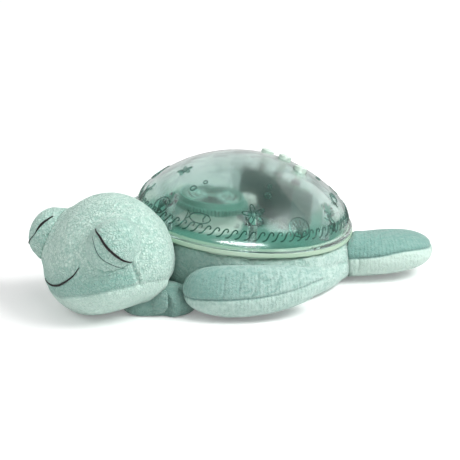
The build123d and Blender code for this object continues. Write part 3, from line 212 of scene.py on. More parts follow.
class SharedPattern:
    """Shader node groups that several finishes use."""

    made: dict[str, bpy.types.NodeTree] = {}

    @classmethod
    def start(cls, name: str, inputs: dict[str, float],
              outputs: tuple[str, ...]) -> tuple[Graph, bpy.types.Node, bpy.types.Node]:
        """Start a node group with its sockets.

        Args:
            name: the group's name.
            inputs: its number inputs and their defaults.
            outputs: its number outputs.

        Returns:
            The graph, the group's input node and its output node.
        """
        tree = bpy.data.node_groups.new(name, "ShaderNodeTree")
        tree.interface.new_socket("Place", in_out="INPUT", socket_type="NodeSocketVector")
        for label, value in inputs.items():
            socket = tree.interface.new_socket(label, in_out="INPUT", socket_type="NodeSocketFloat")
            socket.default_value = value
        for label in outputs:
            tree.interface.new_socket(label, in_out="OUTPUT", socket_type="NodeSocketFloat")
        graph = Graph(tree)
        return graph, graph.add("NodeGroupInput"), graph.add("NodeGroupOutput")

    @classmethod
    def pebble(cls) -> bpy.types.NodeTree:
        """Embossed velour: small pebbles, a fine nap and a broad mottle, as heights of 0 to 1.

        Returns:
            The node group.
        """
        if "pebble" in cls.made:
            return cls.made["pebble"]
        graph, start, end = cls.start("Embossed_Velour", {"Pebble": 330.0, "Warp": 0.004},
                                      ("Pebbles", "Nap", "Mottle"))
        place = start.outputs["Place"]
        drift = graph.add("ShaderNodeTexNoise", Vector=place, Scale=90.0, Detail=2.0)
        centred = graph.add("ShaderNodeVectorMath", operation="SUBTRACT")
        graph.put(centred, 0, drift.outputs["Color"])
        centred.inputs[1].default_value = (0.5, 0.5, 0.5)
        scaled = graph.add("ShaderNodeVectorMath", operation="SCALE")
        graph.put(scaled, 0, centred.outputs[0])
        graph.put(scaled, "Scale", start.outputs["Warp"])
        moved = graph.add("ShaderNodeVectorMath", operation="ADD")
        graph.put(moved, 0, place)
        graph.put(moved, 1, scaled.outputs[0])
        small = graph.add("ShaderNodeTexVoronoi", feature="DISTANCE_TO_EDGE", Vector=moved.outputs[0])
        graph.put(small, "Scale", start.outputs["Pebble"])
        nap = graph.add("ShaderNodeTexNoise", Vector=place, Scale=1500.0, Detail=3.0, Roughness=0.65)
        lean = graph.add("ShaderNodeMapping", vector_type="POINT")
        graph.put(lean, "Vector", place)
        lean.inputs["Rotation"].default_value = (0.5, 0.3, 0.6)
        lean.inputs["Scale"].default_value = (1.0, 0.55, 1.0)
        broad = graph.add("ShaderNodeTexNoise", Vector=lean.outputs[0], Scale=330.0, Detail=3.0,
                          Roughness=0.55)
        graph.put(end, "Pebbles", graph.spread(small.outputs["Distance"], 0.0, 0.28, 0.0, 1.0))
        graph.put(end, "Nap", nap.outputs[0])
        graph.put(end, "Mottle", graph.spread(broad.outputs[0], 0.34, 0.66, 0.0, 1.0))
        cls.made["pebble"] = graph.tree
        return graph.tree

    @classmethod
    def grain(cls) -> bpy.types.NodeTree:
        """Moulded or drawn surface: fine grain, slow waves and faint handling marks.

        Returns:
            The node group.
        """
        if "grain" in cls.made:
            return cls.made["grain"]
        graph, start, end = cls.start("Moulded_Grain", {"Fine": 900.0, "Slow": 40.0},
                                      ("Grain", "Wave", "Marks"))
        place = start.outputs["Place"]
        fine = graph.add("ShaderNodeTexNoise", Vector=place, Detail=3.0)
        graph.put(fine, "Scale", start.outputs["Fine"])
        slow = graph.add("ShaderNodeTexNoise", Vector=place, Detail=2.0)
        graph.put(slow, "Scale", start.outputs["Slow"])
        marks = graph.add("ShaderNodeTexNoise", Vector=place, Scale=220.0, Detail=6.0, Roughness=0.75)
        graph.put(end, "Grain", fine.outputs[0])
        graph.put(end, "Wave", slow.outputs[0])
        graph.put(end, "Marks", graph.spread(marks.outputs[0], 0.52, 0.72, 0.0, 1.0))
        cls.made["grain"] = graph.tree
        return graph.tree

    @staticmethod
    def use(graph: Graph, tree: bpy.types.NodeTree, **values: float) -> bpy.types.Node:
        """Place a group in a material on the piece's own coordinates.

        Args:
            graph: the material's graph.
            tree: the group.
            values: the group's input values.

        Returns:
            The group node.
        """
        node = graph.add("ShaderNodeGroup")
        node.node_tree = tree
        place = graph.add("ShaderNodeTexCoord")
        graph.put(node, "Place", place.outputs["Object"])
        for name, value in values.items():
            graph.put(node, name, value)
        return node


def new_material(name: str) -> tuple[bpy.types.Material, Graph, bpy.types.Node]:
    """Start a material with one Principled BSDF.

    Args:
        name: the material's name.

    Returns:
        The material, its graph and its shader node.
    """
    material = bpy.data.materials.new(name)
    material.use_nodes = True
    graph = Graph(material.node_tree)
    return material, graph, material.node_tree.nodes["Principled BSDF"]


@dataclass(frozen=True)
class Velour:
    """Short velour, embossed, with a paler and smoother cloth under the sewn edges, and painted shade in its
    grooves, where pieces meet and in its shaded places.
    """

    name: str
    colour: Colour
    shade: Colour
    pale: Colour
    # Painted shade: the darker colour that the painted shade mark draws the cloth toward.
    deep: Colour
    pebble_scale: float = 420.0
    pebble_depth: float = 0.6
    rib_per_m: float = 0.0
    rib_depth: float = 0.0
    nap_depth: float = 0.3
    mottle_depth: float = 0.7
    depth_m: float = 0.001
    bump: float = 0.75
    roughness: float = 0.92
    specular: float = 0.15
    sheen: float = 0.45
    sheen_roughness: float = 0.45
    sheen_tint: Colour = (0.97, 1.0, 0.98, 1.0)
    pale_share: float = 0.5
    pale_flat: float = 0.35
    least_tone: float = 0.12
    pebble_tone: float = 0.42
    mottle_tone: float = 0.4
    nap_tone: float = 0.18
    nap_turned: float = 0.5
    rib_drift: float = 2.0
    crease_share: float = 0.75
    crease_dark: float = 0.42

    def material(self) -> bpy.types.Material:
        """Build the finish.

        Returns:
            The material.
        """
        if self.name in bpy.data.materials:
            return bpy.data.materials[self.name]
        material, graph, shader = new_material(self.name)
        group = SharedPattern.use(graph, SharedPattern.pebble(), Pebble=self.pebble_scale)
        pebbles, nap, mottle = (group.outputs[name] for name in ("Pebbles", "Nap", "Mottle"))
        pale = graph.add("ShaderNodeAttribute", attribute_name="pale").outputs["Fac"]
        crease = graph.add("ShaderNodeAttribute", attribute_name="crease").outputs["Fac"]
        turned = graph.add("ShaderNodeAttribute", attribute_name="turned").outputs["Fac"]
        raised = graph.math("MULTIPLY", pebbles, self.pebble_depth)
        if self.rib_depth:
            along = graph.add("ShaderNodeAttribute", attribute_name="along").outputs["Fac"]
            turns = graph.math("MULTIPLY", along, self.rib_per_m * 2 * math.pi)
            swing = graph.math("MULTIPLY_ADD", mottle, self.rib_drift, turns)
            ribs = graph.math("MULTIPLY_ADD", graph.math("SINE", swing), 0.5, 0.5)
            raised = graph.math("MULTIPLY_ADD", ribs, self.rib_depth, raised)
        raised = graph.math("MULTIPLY", raised, graph.math("MULTIPLY_ADD", pale, -self.pale_flat, 1.0))
        raised = graph.math("MULTIPLY_ADD", mottle, self.mottle_depth, raised)
        raised = graph.math("MULTIPLY_ADD", nap, self.nap_depth, raised)
        # The pebbles' grooves are painted darker, as shade in the recesses; the mottle and the nap add tone
        # that differs at random.
        tone = graph.math("MULTIPLY_ADD", pebbles, self.pebble_tone * self.pebble_depth, self.least_tone)
        tone = graph.math("MULTIPLY_ADD", mottle, self.mottle_tone, tone)
        tone = graph.math("MULTIPLY_ADD", nap, self.nap_tone, tone)
        colour = graph.mix(tone, self.shade, self.colour)
        # Painted shade: the colour goes toward the painted shade colour where the mark read above is set,
        # broken up a little by the nap.
        share = graph.math("MULTIPLY", turned, graph.math("MULTIPLY_ADD", nap, -self.nap_turned, 1.0))
        colour = graph.mix(share, colour, self.deep)
        share = graph.math("MULTIPLY_ADD", nap, self.pale_share, 0.5 * self.pale_share)
        colour = graph.mix(graph.math("MULTIPLY", pale, share), colour, self.pale)
        # Painted shade: the colour darkens where the crease mark is set, at the bottoms of grooves and where
        # pieces meet.
        dark = tuple(self.crease_dark * value for value in self.shade[:3]) + (1.0,)
        colour = graph.mix(graph.math("MULTIPLY", crease, self.crease_share), colour, dark)
        graph.put(shader, "Base Color", colour)
        bump = graph.add("ShaderNodeBump", Strength=self.bump, Distance=self.depth_m)
        graph.put(bump, "Height", raised)
        graph.put(shader, "Normal", bump.outputs[0])
        graph.put(shader, "Roughness", self.roughness)
        graph.put(shader, "Specular IOR Level", self.specular)
        graph.put(shader, "Sheen Weight", self.sheen)
        graph.put(shader, "Sheen Roughness", self.sheen_roughness)
        graph.put(shader, "Sheen Tint", self.sheen_tint)
        return material


@dataclass(frozen=True)
class Moulded:
    """Moulded plastic, paper, rubber or metal with grain and faint marks."""

    name: str
    colour: Colour
    marked: Colour
    roughness: float = 0.4
    metallic: float = 0.0
    grain_scale: float = 900.0
    grain_depth_m: float = 0.00004
    coat: float = 0.0
    mark_share: float = 0.5
    wave_share: float = 0.4
    grain_rough: float = 0.12
    mark_rough: float = 0.08
    bump: float = 0.5

    def material(self) -> bpy.types.Material:
        """Build the finish.

        Returns:
            The material.
        """
        if self.name in bpy.data.materials:
            return bpy.data.materials[self.name]
        material, graph, shader = new_material(self.name)
        group = SharedPattern.use(graph, SharedPattern.grain(), Fine=self.grain_scale)
        grain, wave, marks = (group.outputs[name] for name in ("Grain", "Wave", "Marks"))
        share = graph.math("MULTIPLY", wave, self.wave_share)
        share = graph.math("MULTIPLY_ADD", marks, self.mark_share, share)
        graph.put(shader, "Base Color", graph.mix(share, self.colour, self.marked))
        rough = graph.math("MULTIPLY_ADD", grain, self.grain_rough, self.roughness - 0.5 * self.grain_rough)
        graph.put(shader, "Roughness", graph.math("MULTIPLY_ADD", marks, self.mark_rough, rough))
        graph.put(shader, "Metallic", self.metallic)
        bump = graph.add("ShaderNodeBump", Strength=self.bump, Distance=self.grain_depth_m)
        graph.put(bump, "Height", grain)
        graph.put(shader, "Normal", bump.outputs[0])
        graph.put(shader, "Coat Weight", self.coat)
        return material


@dataclass(frozen=True)
class ClearPlastic:
    """Clear tinted plastic that lets the studio light through to what is inside."""

    name: str
    tint: Colour
    shadow: Colour
    ior: float = 1.46
    roughness: float = 0.03
    inner: float = 0.03
    wave_depth_m: float = 0.00002
    wave_scale: float = 40.0
    fine_scale: float = 600.0
    wave_share: float = 0.25
    mark_rough: float = 0.03
    bump: float = 0.8

    def material(self) -> bpy.types.Material:
        """Build the finish.

        Returns:
            The material.
        """
        if self.name in bpy.data.materials:
            return bpy.data.materials[self.name]
        material, graph, shader = new_material(self.name)
        group = SharedPattern.use(graph, SharedPattern.grain(), Fine=self.fine_scale, Slow=self.wave_scale)
        share = graph.math("MULTIPLY", group.outputs["Wave"], self.wave_share)
        graph.put(shader, "Base Color", graph.mix(share, self.tint, self.shadow))
        inner = graph.add("ShaderNodeNewGeometry").outputs["Backfacing"]
        rough = graph.math("MULTIPLY_ADD", inner, self.inner - self.roughness, self.roughness)
        rough = graph.math("MULTIPLY_ADD", group.outputs["Marks"], self.mark_rough, rough)
        graph.put(shader, "Roughness", rough)
        graph.put(shader, "Transmission Weight", 1.0)
        graph.put(shader, "IOR", self.ior)
        bump = graph.add("ShaderNodeBump", Strength=self.bump, Distance=self.wave_depth_m)
        graph.put(bump, "Height", graph.math("MULTIPLY", group.outputs["Wave"], inner))
        graph.put(shader, "Normal", bump.outputs[0])
        through = graph.add("ShaderNodeBsdfTransparent", Color=self.shadow)
        path = graph.add("ShaderNodeLightPath")
        either = graph.math("MAXIMUM", path.outputs["Is Shadow Ray"], path.outputs["Is Diffuse Ray"])
        both = graph.add("ShaderNodeMixShader")
        graph.put(both, 0, either)
        graph.put(both, 1, shader.outputs[0])
        graph.put(both, 2, through.outputs[0])
        end = material.node_tree.nodes["Material Output"]
        graph.put(end, "Surface", both.outputs[0])
        return material


@dataclass(frozen=True)
class Thread:
    """Twisted embroidery thread."""

    name: str
    colour: Colour
    lit: Colour
    twist_scale: float = 700.0
    twist_stray: float = 3.0
    twist_depth_m: float = 0.0002
    bump: float = 0.6
    roughness: float = 0.75
    sheen: float = 0.05

    def material(self) -> bpy.types.Material:
        """Build the finish.

        Returns:
            The material.
        """
        if self.name in bpy.data.materials:
            return bpy.data.materials[self.name]
        material, graph, shader = new_material(self.name)
        place = graph.add("ShaderNodeTexCoord")
        twist = graph.add("ShaderNodeTexWave", Vector=place.outputs["Object"], Scale=self.twist_scale,
                          Distortion=self.twist_stray, Detail=2.0)
        graph.put(shader, "Base Color", graph.mix(twist.outputs["Fac"], self.colour, self.lit))
        bump = graph.add("ShaderNodeBump", Strength=self.bump, Distance=self.twist_depth_m)
        graph.put(bump, "Height", twist.outputs["Fac"])
        graph.put(shader, "Normal", bump.outputs[0])
        graph.put(shader, "Roughness", self.roughness)
        graph.put(shader, "Sheen Weight", self.sheen)
        return material


Finish = Velour | Moulded | ClearPlastic | Thread


@dataclass(frozen=True)
class Finishes:
    """Every finish on the turtle."""

    # Each velour lists its colour, its shade tone, its pale panel colour and its painted shade colour.
    head: Velour = Velour(
        "Velour_Head", srgb(218, 243, 232), srgb(138, 189, 175), srgb(214, 239, 228), srgb(122, 177, 165),
        pebble_scale=380.0, pebble_depth=0.9, depth_m=0.0012)
    body: Velour = Velour(
        "Velour_Body", srgb(220, 239, 231), srgb(150, 192, 181), srgb(216, 237, 229), srgb(100, 142, 133),
        pebble_depth=0.4)
    flipper: Velour = Velour(
        "Velour_Flipper", srgb(209, 231, 223), srgb(136, 180, 170), srgb(214, 235, 224), srgb(110, 160, 151),
        pebble_scale=620.0, pebble_depth=0.3, rib_per_m=300.0, rib_depth=0.4, pale_share=0.7)
    dome: ClearPlastic = ClearPlastic(
        "Clear_Green_Dome", (0.64, 0.755, 0.728, 1.0), (0.93, 0.975, 0.96, 1.0), ior=1.4, roughness=0.1,
        inner=0.2, wave_depth_m=0.0012, wave_scale=34.0)
    # The relief's dark tint is painted shade, standing in for the dark edges that the clear relief shows by
    # refraction.
    relief: ClearPlastic = ClearPlastic(
        "Clear_Green_Relief", (0.10, 0.25, 0.21, 1.0), (0.2, 0.4, 0.34, 1.0), roughness=0.2,
        wave_depth_m=0.0004, wave_scale=60.0)
    clear: ClearPlastic = ClearPlastic("Clear_Lens", (0.95, 0.98, 0.97, 1.0), (0.9, 0.95, 0.93, 1.0))
    disc: ClearPlastic = ClearPlastic(
        "Clear_Green_Disc", (0.42, 0.68, 0.6, 1.0), (0.6, 0.8, 0.74, 1.0), roughness=0.1)
    trim: Moulded = Moulded(
        "Trim_Ring_Green", srgb(186, 212, 188), srgb(164, 194, 172), roughness=0.35, coat=0.2)
    case: Moulded = Moulded("Tub_Green", srgb(205, 222, 210), srgb(186, 206, 194), roughness=0.5)
    white: Moulded = Moulded("Lamp_White", srgb(244, 245, 240), srgb(222, 226, 219), roughness=0.45)
    dark: Moulded = Moulded("Dark_Plastic", srgb(38, 44, 44), srgb(60, 66, 66), roughness=0.5)
    deck: Moulded = Moulded("Deck_Green", srgb(92, 154, 138), srgb(70, 128, 113), roughness=0.45)
    pod: Moulded = Moulded("Pod_Dark_Green", srgb(32, 84, 73), srgb(20, 60, 52), roughness=0.45)
    button: Moulded = Moulded(
        "Button_Milk", srgb(206, 224, 212), srgb(186, 208, 196), roughness=0.3, coat=0.3)
    board: Moulded = Moulded("Board_Mask", srgb(30, 92, 62), srgb(50, 120, 82), roughness=0.35, coat=0.3)
    steel: Moulded = Moulded(
        "Plated_Steel", srgb(176, 178, 180), srgb(140, 143, 146), roughness=0.3, metallic=1.0)
    can: Moulded = Moulded(
        "Drawn_Can", srgb(190, 192, 196), srgb(160, 163, 168), roughness=0.35, metallic=1.0)
    painted: Moulded = Moulded("Black_Paint", srgb(44, 46, 48), srgb(70, 72, 74), roughness=0.45)
    cell: Moulded = Moulded("Cell_Sleeve", srgb(70, 86, 92), srgb(96, 112, 118), roughness=0.3, coat=0.4)
    cone: Moulded = Moulded("Pressed_Paper", srgb(40, 40, 40), srgb(62, 60, 58), roughness=0.85)
    red_lead: Moulded = Moulded("Lead_Red", srgb(168, 44, 36), srgb(140, 34, 28), roughness=0.5)
    grey_lead: Moulded = Moulded("Lead_Grey", srgb(128, 130, 132), srgb(108, 110, 112), roughness=0.5)
    thread: Thread = Thread("Black_Thread", srgb(10, 8, 8), srgb(22, 18, 18))
    # A dark green thread that stands in for the shade in the lower lid's seam groove: painted shade.
    seam: Thread = Thread("Seam_Thread", srgb(64, 96, 90), srgb(92, 126, 120))


FINISH = Finishes()


class Bench:
    """Operators on one object at a time, with everything else deselected."""

    @staticmethod
    def only(piece: bpy.types.Object) -> None:
        """Select one object alone and make it active.

        Args:
            piece: the object.
        """
        if bpy.context.object and bpy.context.object.mode != "OBJECT":
            bpy.ops.object.mode_set(mode="OBJECT")
        bpy.ops.object.select_all(action="DESELECT")
        piece.select_set(True)
        bpy.context.view_layer.objects.active = piece

    @staticmethod
    def apply(piece: bpy.types.Object) -> None:
        """Apply all modifiers of a piece.

        Args:
            piece: the object.
        """
        Bench.only(piece)
        for modifier in list(piece.modifiers):
            bpy.ops.object.modifier_apply(modifier=modifier.name)

    @staticmethod
    def shade(piece: bpy.types.Object, shading: Shading = Shading.SMOOTH) -> None:
        """Shade a piece smooth, all over or by angle.

        Args:
            piece: the object.
            shading: which of the two.
        """
        Bench.only(piece)
        if shading is Shading.SMOOTH:
            bpy.ops.object.shade_smooth()
        else:
            bpy.ops.object.shade_smooth_by_angle(angle=math.radians(SMOOTH_ANGLE_DEG))

    @staticmethod
    def paint(piece: bpy.types.Object, material: bpy.types.Material) -> None:
        """Give a piece one material."""
        piece.data.materials.clear()
        piece.data.materials.append(material)

    @staticmethod
    def report(piece: bpy.types.Object) -> None:
        """Log a finished piece's name and size."""
        LOG.info("%s: %d faces", piece.name, len(piece.data.polygons))


def coordinates(piece: bpy.types.Object) -> np.ndarray:
    """The points of a piece's mesh.

    Args:
        piece: a mesh object.

    Returns:
        An array of one row per vertex.
    """
    found = np.empty(len(piece.data.vertices) * 3, np.float64)
    piece.data.vertices.foreach_get("co", found)
    return found.reshape(-1, 3)


def set_coordinates(piece: bpy.types.Object, places: np.ndarray) -> None:
    """Move a piece's points to the given places."""
    piece.data.vertices.foreach_set("co", places.astype(np.float32).ravel())
    piece.data.update()


def normals(piece: bpy.types.Object) -> np.ndarray:
    """The vertex normals of a piece's mesh.

    Args:
        piece: a mesh object.

    Returns:
        An array of one row per vertex.
    """
    found = np.empty(len(piece.data.vertices) * 3, np.float32)
    piece.data.vertex_normals.foreach_get("vector", found)
    return found.reshape(-1, 3).astype(np.float64)


@dataclass
class Stuffed:
    """One stuffed piece, made from the space that its solid holds."""

    node: str
    voxel: float = 0.003
    swell: float = 0.0025
    pressure: float = 4.0
    levels: int = 1
    fill: float = 0.8
    finish: Velour | None = None
    piece: bpy.types.Object | None = None

    def cut(self) -> bpy.types.Object:
        """Copy the solid's mesh, merge it and remesh it evenly.

        Returns:
            The new piece.
        """
        source = bpy.data.objects[self.node]
        mesh = source.data.copy()
        piece = bpy.data.objects.new(f"{self.node}_velour", mesh)
        bpy.context.scene.collection.objects.link(piece)
        Bench.only(piece)
        bpy.ops.object.mode_set(mode="EDIT")
        bpy.ops.mesh.select_all(action="SELECT")
        bpy.ops.mesh.remove_doubles(threshold=WELD)
        bpy.ops.mesh.normals_make_consistent(inside=False)
        bpy.ops.object.mode_set(mode="OBJECT")
        remesh = piece.modifiers.new("Even", "REMESH")
        remesh.mode = "VOXEL"
        remesh.voxel_size = self.voxel
        smooth = piece.modifiers.new("Soft", "SMOOTH")
        smooth.factor, smooth.iterations = 0.5, 6
        Bench.apply(piece)
        self.piece = piece
        return piece

    def hold(self, held: np.ndarray) -> None:
        """Give the piece a cloth with pressure, pinned where it is held.

        Args:
            held: a weight of 0 to 1 for each point.
        """
        group = self.piece.vertex_groups.new(name="held")
        for index in np.nonzero(held > 0.01)[0]:
            group.add([int(index)], float(held[index]), "REPLACE")
        cloth = self.piece.modifiers.new("Stuffing", "CLOTH")
        cloth.settings.use_pressure = True
        cloth.settings.uniform_pressure_force = self.pressure
        cloth.settings.effector_weights.gravity = 0.0
        cloth.settings.vertex_group_mass = "held"
        cloth.settings.quality = 5
        cloth.settings.tension_stiffness = 15
        cloth.settings.compression_stiffness = 15
        cloth.settings.bending_stiffness = 0.5
        cloth.collision_settings.use_collision = False
        cloth.point_cache.frame_start, cloth.point_cache.frame_end = 1, SWELL_FRAMES

    def settle(self, rest: np.ndarray) -> None:
        """Keep the swollen shape, capped, and drop the cloth.

        Args:
            rest: the points before the swelling.
        """
        graph = bpy.context.evaluated_depsgraph_get()
        swollen = coordinates(self.piece.evaluated_get(graph))
        move = swollen - rest
        far = np.linalg.norm(move, axis=1, keepdims=True)
        move *= np.minimum(1.0, self.swell / np.maximum(far, 1e-9))
        self.piece.modifiers.clear()
        set_coordinates(self.piece, rest + move)

    def dress(self) -> None:
        """Subdivide, shade and paint the piece, and keep it above the ground."""
        subdivision = self.piece.modifiers.new("Fine", "SUBSURF")
        subdivision.levels = subdivision.render_levels = self.levels
        Bench.apply(self.piece)
        places = coordinates(self.piece)
        places[:, 2] = np.maximum(places[:, 2], GROUND)
        set_coordinates(self.piece, places)
        Bench.shade(self.piece)
        self.piece.vertex_groups.clear()
        Bench.paint(self.piece, self.finish.material())


@dataclass(frozen=True)
class HeadPose:
    """The head's own frame: its middle and its turn."""

    middle: Point = (0.0, -104.0, 48.0)
    yaw_deg: float = 4.0
    roll_deg: float = 11.5

    def ahead(self) -> Vector:
        """The way from the face into the head."""
        start, end = self.place(np.array(((0.0, 0.0, 0.0), (0.0, 1.0, 0.0))))
        return Vector(end - start).normalized()

    def place(self, points: Line) -> Line:
        """Bring points of the head's own frame into the turtle's.

        Args:
            points: points in millimetres, one row each.

        Returns:
            The points in metres.
        """
        turn = (Matrix.Rotation(math.radians(-self.roll_deg), 3, "Y")
                @ Matrix.Rotation(math.radians(self.yaw_deg), 3, "Z"))
        middle = np.array(self.middle)
        return ((np.array(points) - middle) @ np.array(turn).T + middle) * MM


@dataclass(frozen=True)
class Groove:
    """How the cloth is drawn in along a sewn line: half width, depth, and the painted shade at its bottom.
    """

    width: float
    depth: float
    dark: float
    dark_width: float = 0.55


@dataclass(frozen=True)
class FlipperEdge:
    """A flipper's edge: how much shade is painted over it, where that fades out, and how pale its under side
    is.
    """

    turned: float
    until: float
    under: float


class Stitching:
    """Lines on cloth: smooth runs of points, sewn grooves and raised thread."""

    @staticmethod
    def run(points: Line, step: float = 0.0007) -> Line:
        """Draw a smooth line through points.

        Args:
            points: the points in metres, one row each.
            step: the spacing wanted along the line.

        Returns:
            The points of the smooth line.
        """
        ends = np.vstack([2 * points[0] - points[1], points, 2 * points[-1] - points[-2]])
        found = []
        for a, b, c, d in zip(ends, ends[1:], ends[2:], ends[3:]):
            count = max(2, int(np.linalg.norm(c - b) / step))
            t = np.linspace(0.0, 1.0, count, endpoint=False)[:, None]
            found.append(0.5 * (2 * b + (c - a) * t + (2 * a - 5 * b + 4 * c - d) * t**2
                                + (3 * b - a - 3 * c + d) * t**3))
        return np.vstack(found + [points[-1:]])

    @staticmethod
    def skin(*pieces: bpy.types.Object) -> BVHTree:
        """Make a search tree of the faces of some pieces.

        Args:
            pieces: mesh objects.

        Returns:
            The tree.
        """
        places, faces = [], []
        for piece in pieces:
            start = len(places)
            places.extend(v.co.copy() for v in piece.data.vertices)
            faces.extend([start + i for i in p.vertices] for p in piece.data.polygons)
        return BVHTree.FromPolygons(places, faces)

    @staticmethod
    def snap(line: Line, skin: BVHTree, lift: float = 0.0) -> Line:
        """Lay a line on a skin.

        Args:
            line: points in metres.
            skin: the tree of the skin.
            lift: how far above the skin the line lies.

        Returns:
            The points on the skin.
        """
        found = []
        for point in line:
            place, normal, _, _ = skin.find_nearest(Vector(point))
            found.append(place + normal * lift)
        return np.array(found)

    @staticmethod
    def tree(line: Line) -> KDTree:
        """Make a search tree of a line's points.

        Args:
            line: points in metres.

        Returns:
            The tree.
        """
        tree = KDTree(len(line))
        for index, point in enumerate(line):
            tree.insert(point, index)
        tree.balance()
        return tree

    @staticmethod
    def distance(piece: bpy.types.Object, line: Line) -> tuple[np.ndarray, np.ndarray]:
        """How far each point of a piece is from a line.

        Args:
            piece: a mesh object.
            line: points in metres.

        Returns:
            The distances, and the index of the nearest point of the line.
        """
        tree = Stitching.tree(line)
        found = [tree.find(place) for place in coordinates(piece)]
        return np.array([f[2] for f in found]), np.array([f[1] for f in found])

    @staticmethod
    def mark(piece: bpy.types.Object, name: str, values: np.ndarray, replace: bool = False) -> None:
        """Keep a value for each point of a piece, the largest where it is kept twice.

        Args:
            piece: a mesh object.
            name: the attribute's name.
            values: one value a point.
            replace: whether an earlier value is dropped.
        """
        attribute = piece.data.attributes.get(name) or piece.data.attributes.new(name, "FLOAT", "POINT")
        before = np.zeros(len(values), np.float32)
        attribute.data.foreach_get("value", before)
        after = values if replace else np.maximum(before, values)
        attribute.data.foreach_set("value", after.astype(np.float32))

    @classmethod
    def groove(cls, piece: bpy.types.Object, line: Line, groove: Groove) -> None:
        """Draw the cloth in along a sewn line and paint shade at its bottom.

        Args:
            piece: the cloth.
            line: points in metres.
            groove: how it is drawn in and shaded.
        """
        far, _ = cls.distance(piece, cls.snap(line, cls.skin(piece)))
        share = np.exp(-(far / groove.width) ** 2)
        set_coordinates(piece, coordinates(piece) - normals(piece) * (share * groove.depth)[:, None])
        # Painted shade at the groove's bottom.
        cls.mark(piece, "crease", np.exp(-(far / (groove.dark_width * groove.width)) ** 2) * groove.dark)

    @staticmethod
    def thread(name: str, line: Line, widths: np.ndarray, finish: Thread) -> bpy.types.Object:
        """Lay a raised run of thread along a line.

        Args:
            name: the piece's name.
            line: points in metres.
            widths: the thread's half width at each point.
            finish: the thread's finish.

        Returns:
            The thread, as a mesh.
        """
        curve = bpy.data.curves.new(name, "CURVE")
        curve.dimensions = "3D"
        curve.bevel_depth, curve.bevel_resolution, curve.use_fill_caps = 1.0, 2, True
        spline = curve.splines.new("POLY")
        spline.points.add(len(line) - 1)
        for point, place, width in zip(spline.points, line, widths):
            point.co = (*place, 1.0)
            point.radius = float(width)
        piece = bpy.data.objects.new(name, curve)
        bpy.context.scene.collection.objects.link(piece)
        Bench.only(piece)
        bpy.ops.object.convert(target="MESH")
        Bench.shade(piece)
        Bench.paint(piece, finish.material())
        return piece


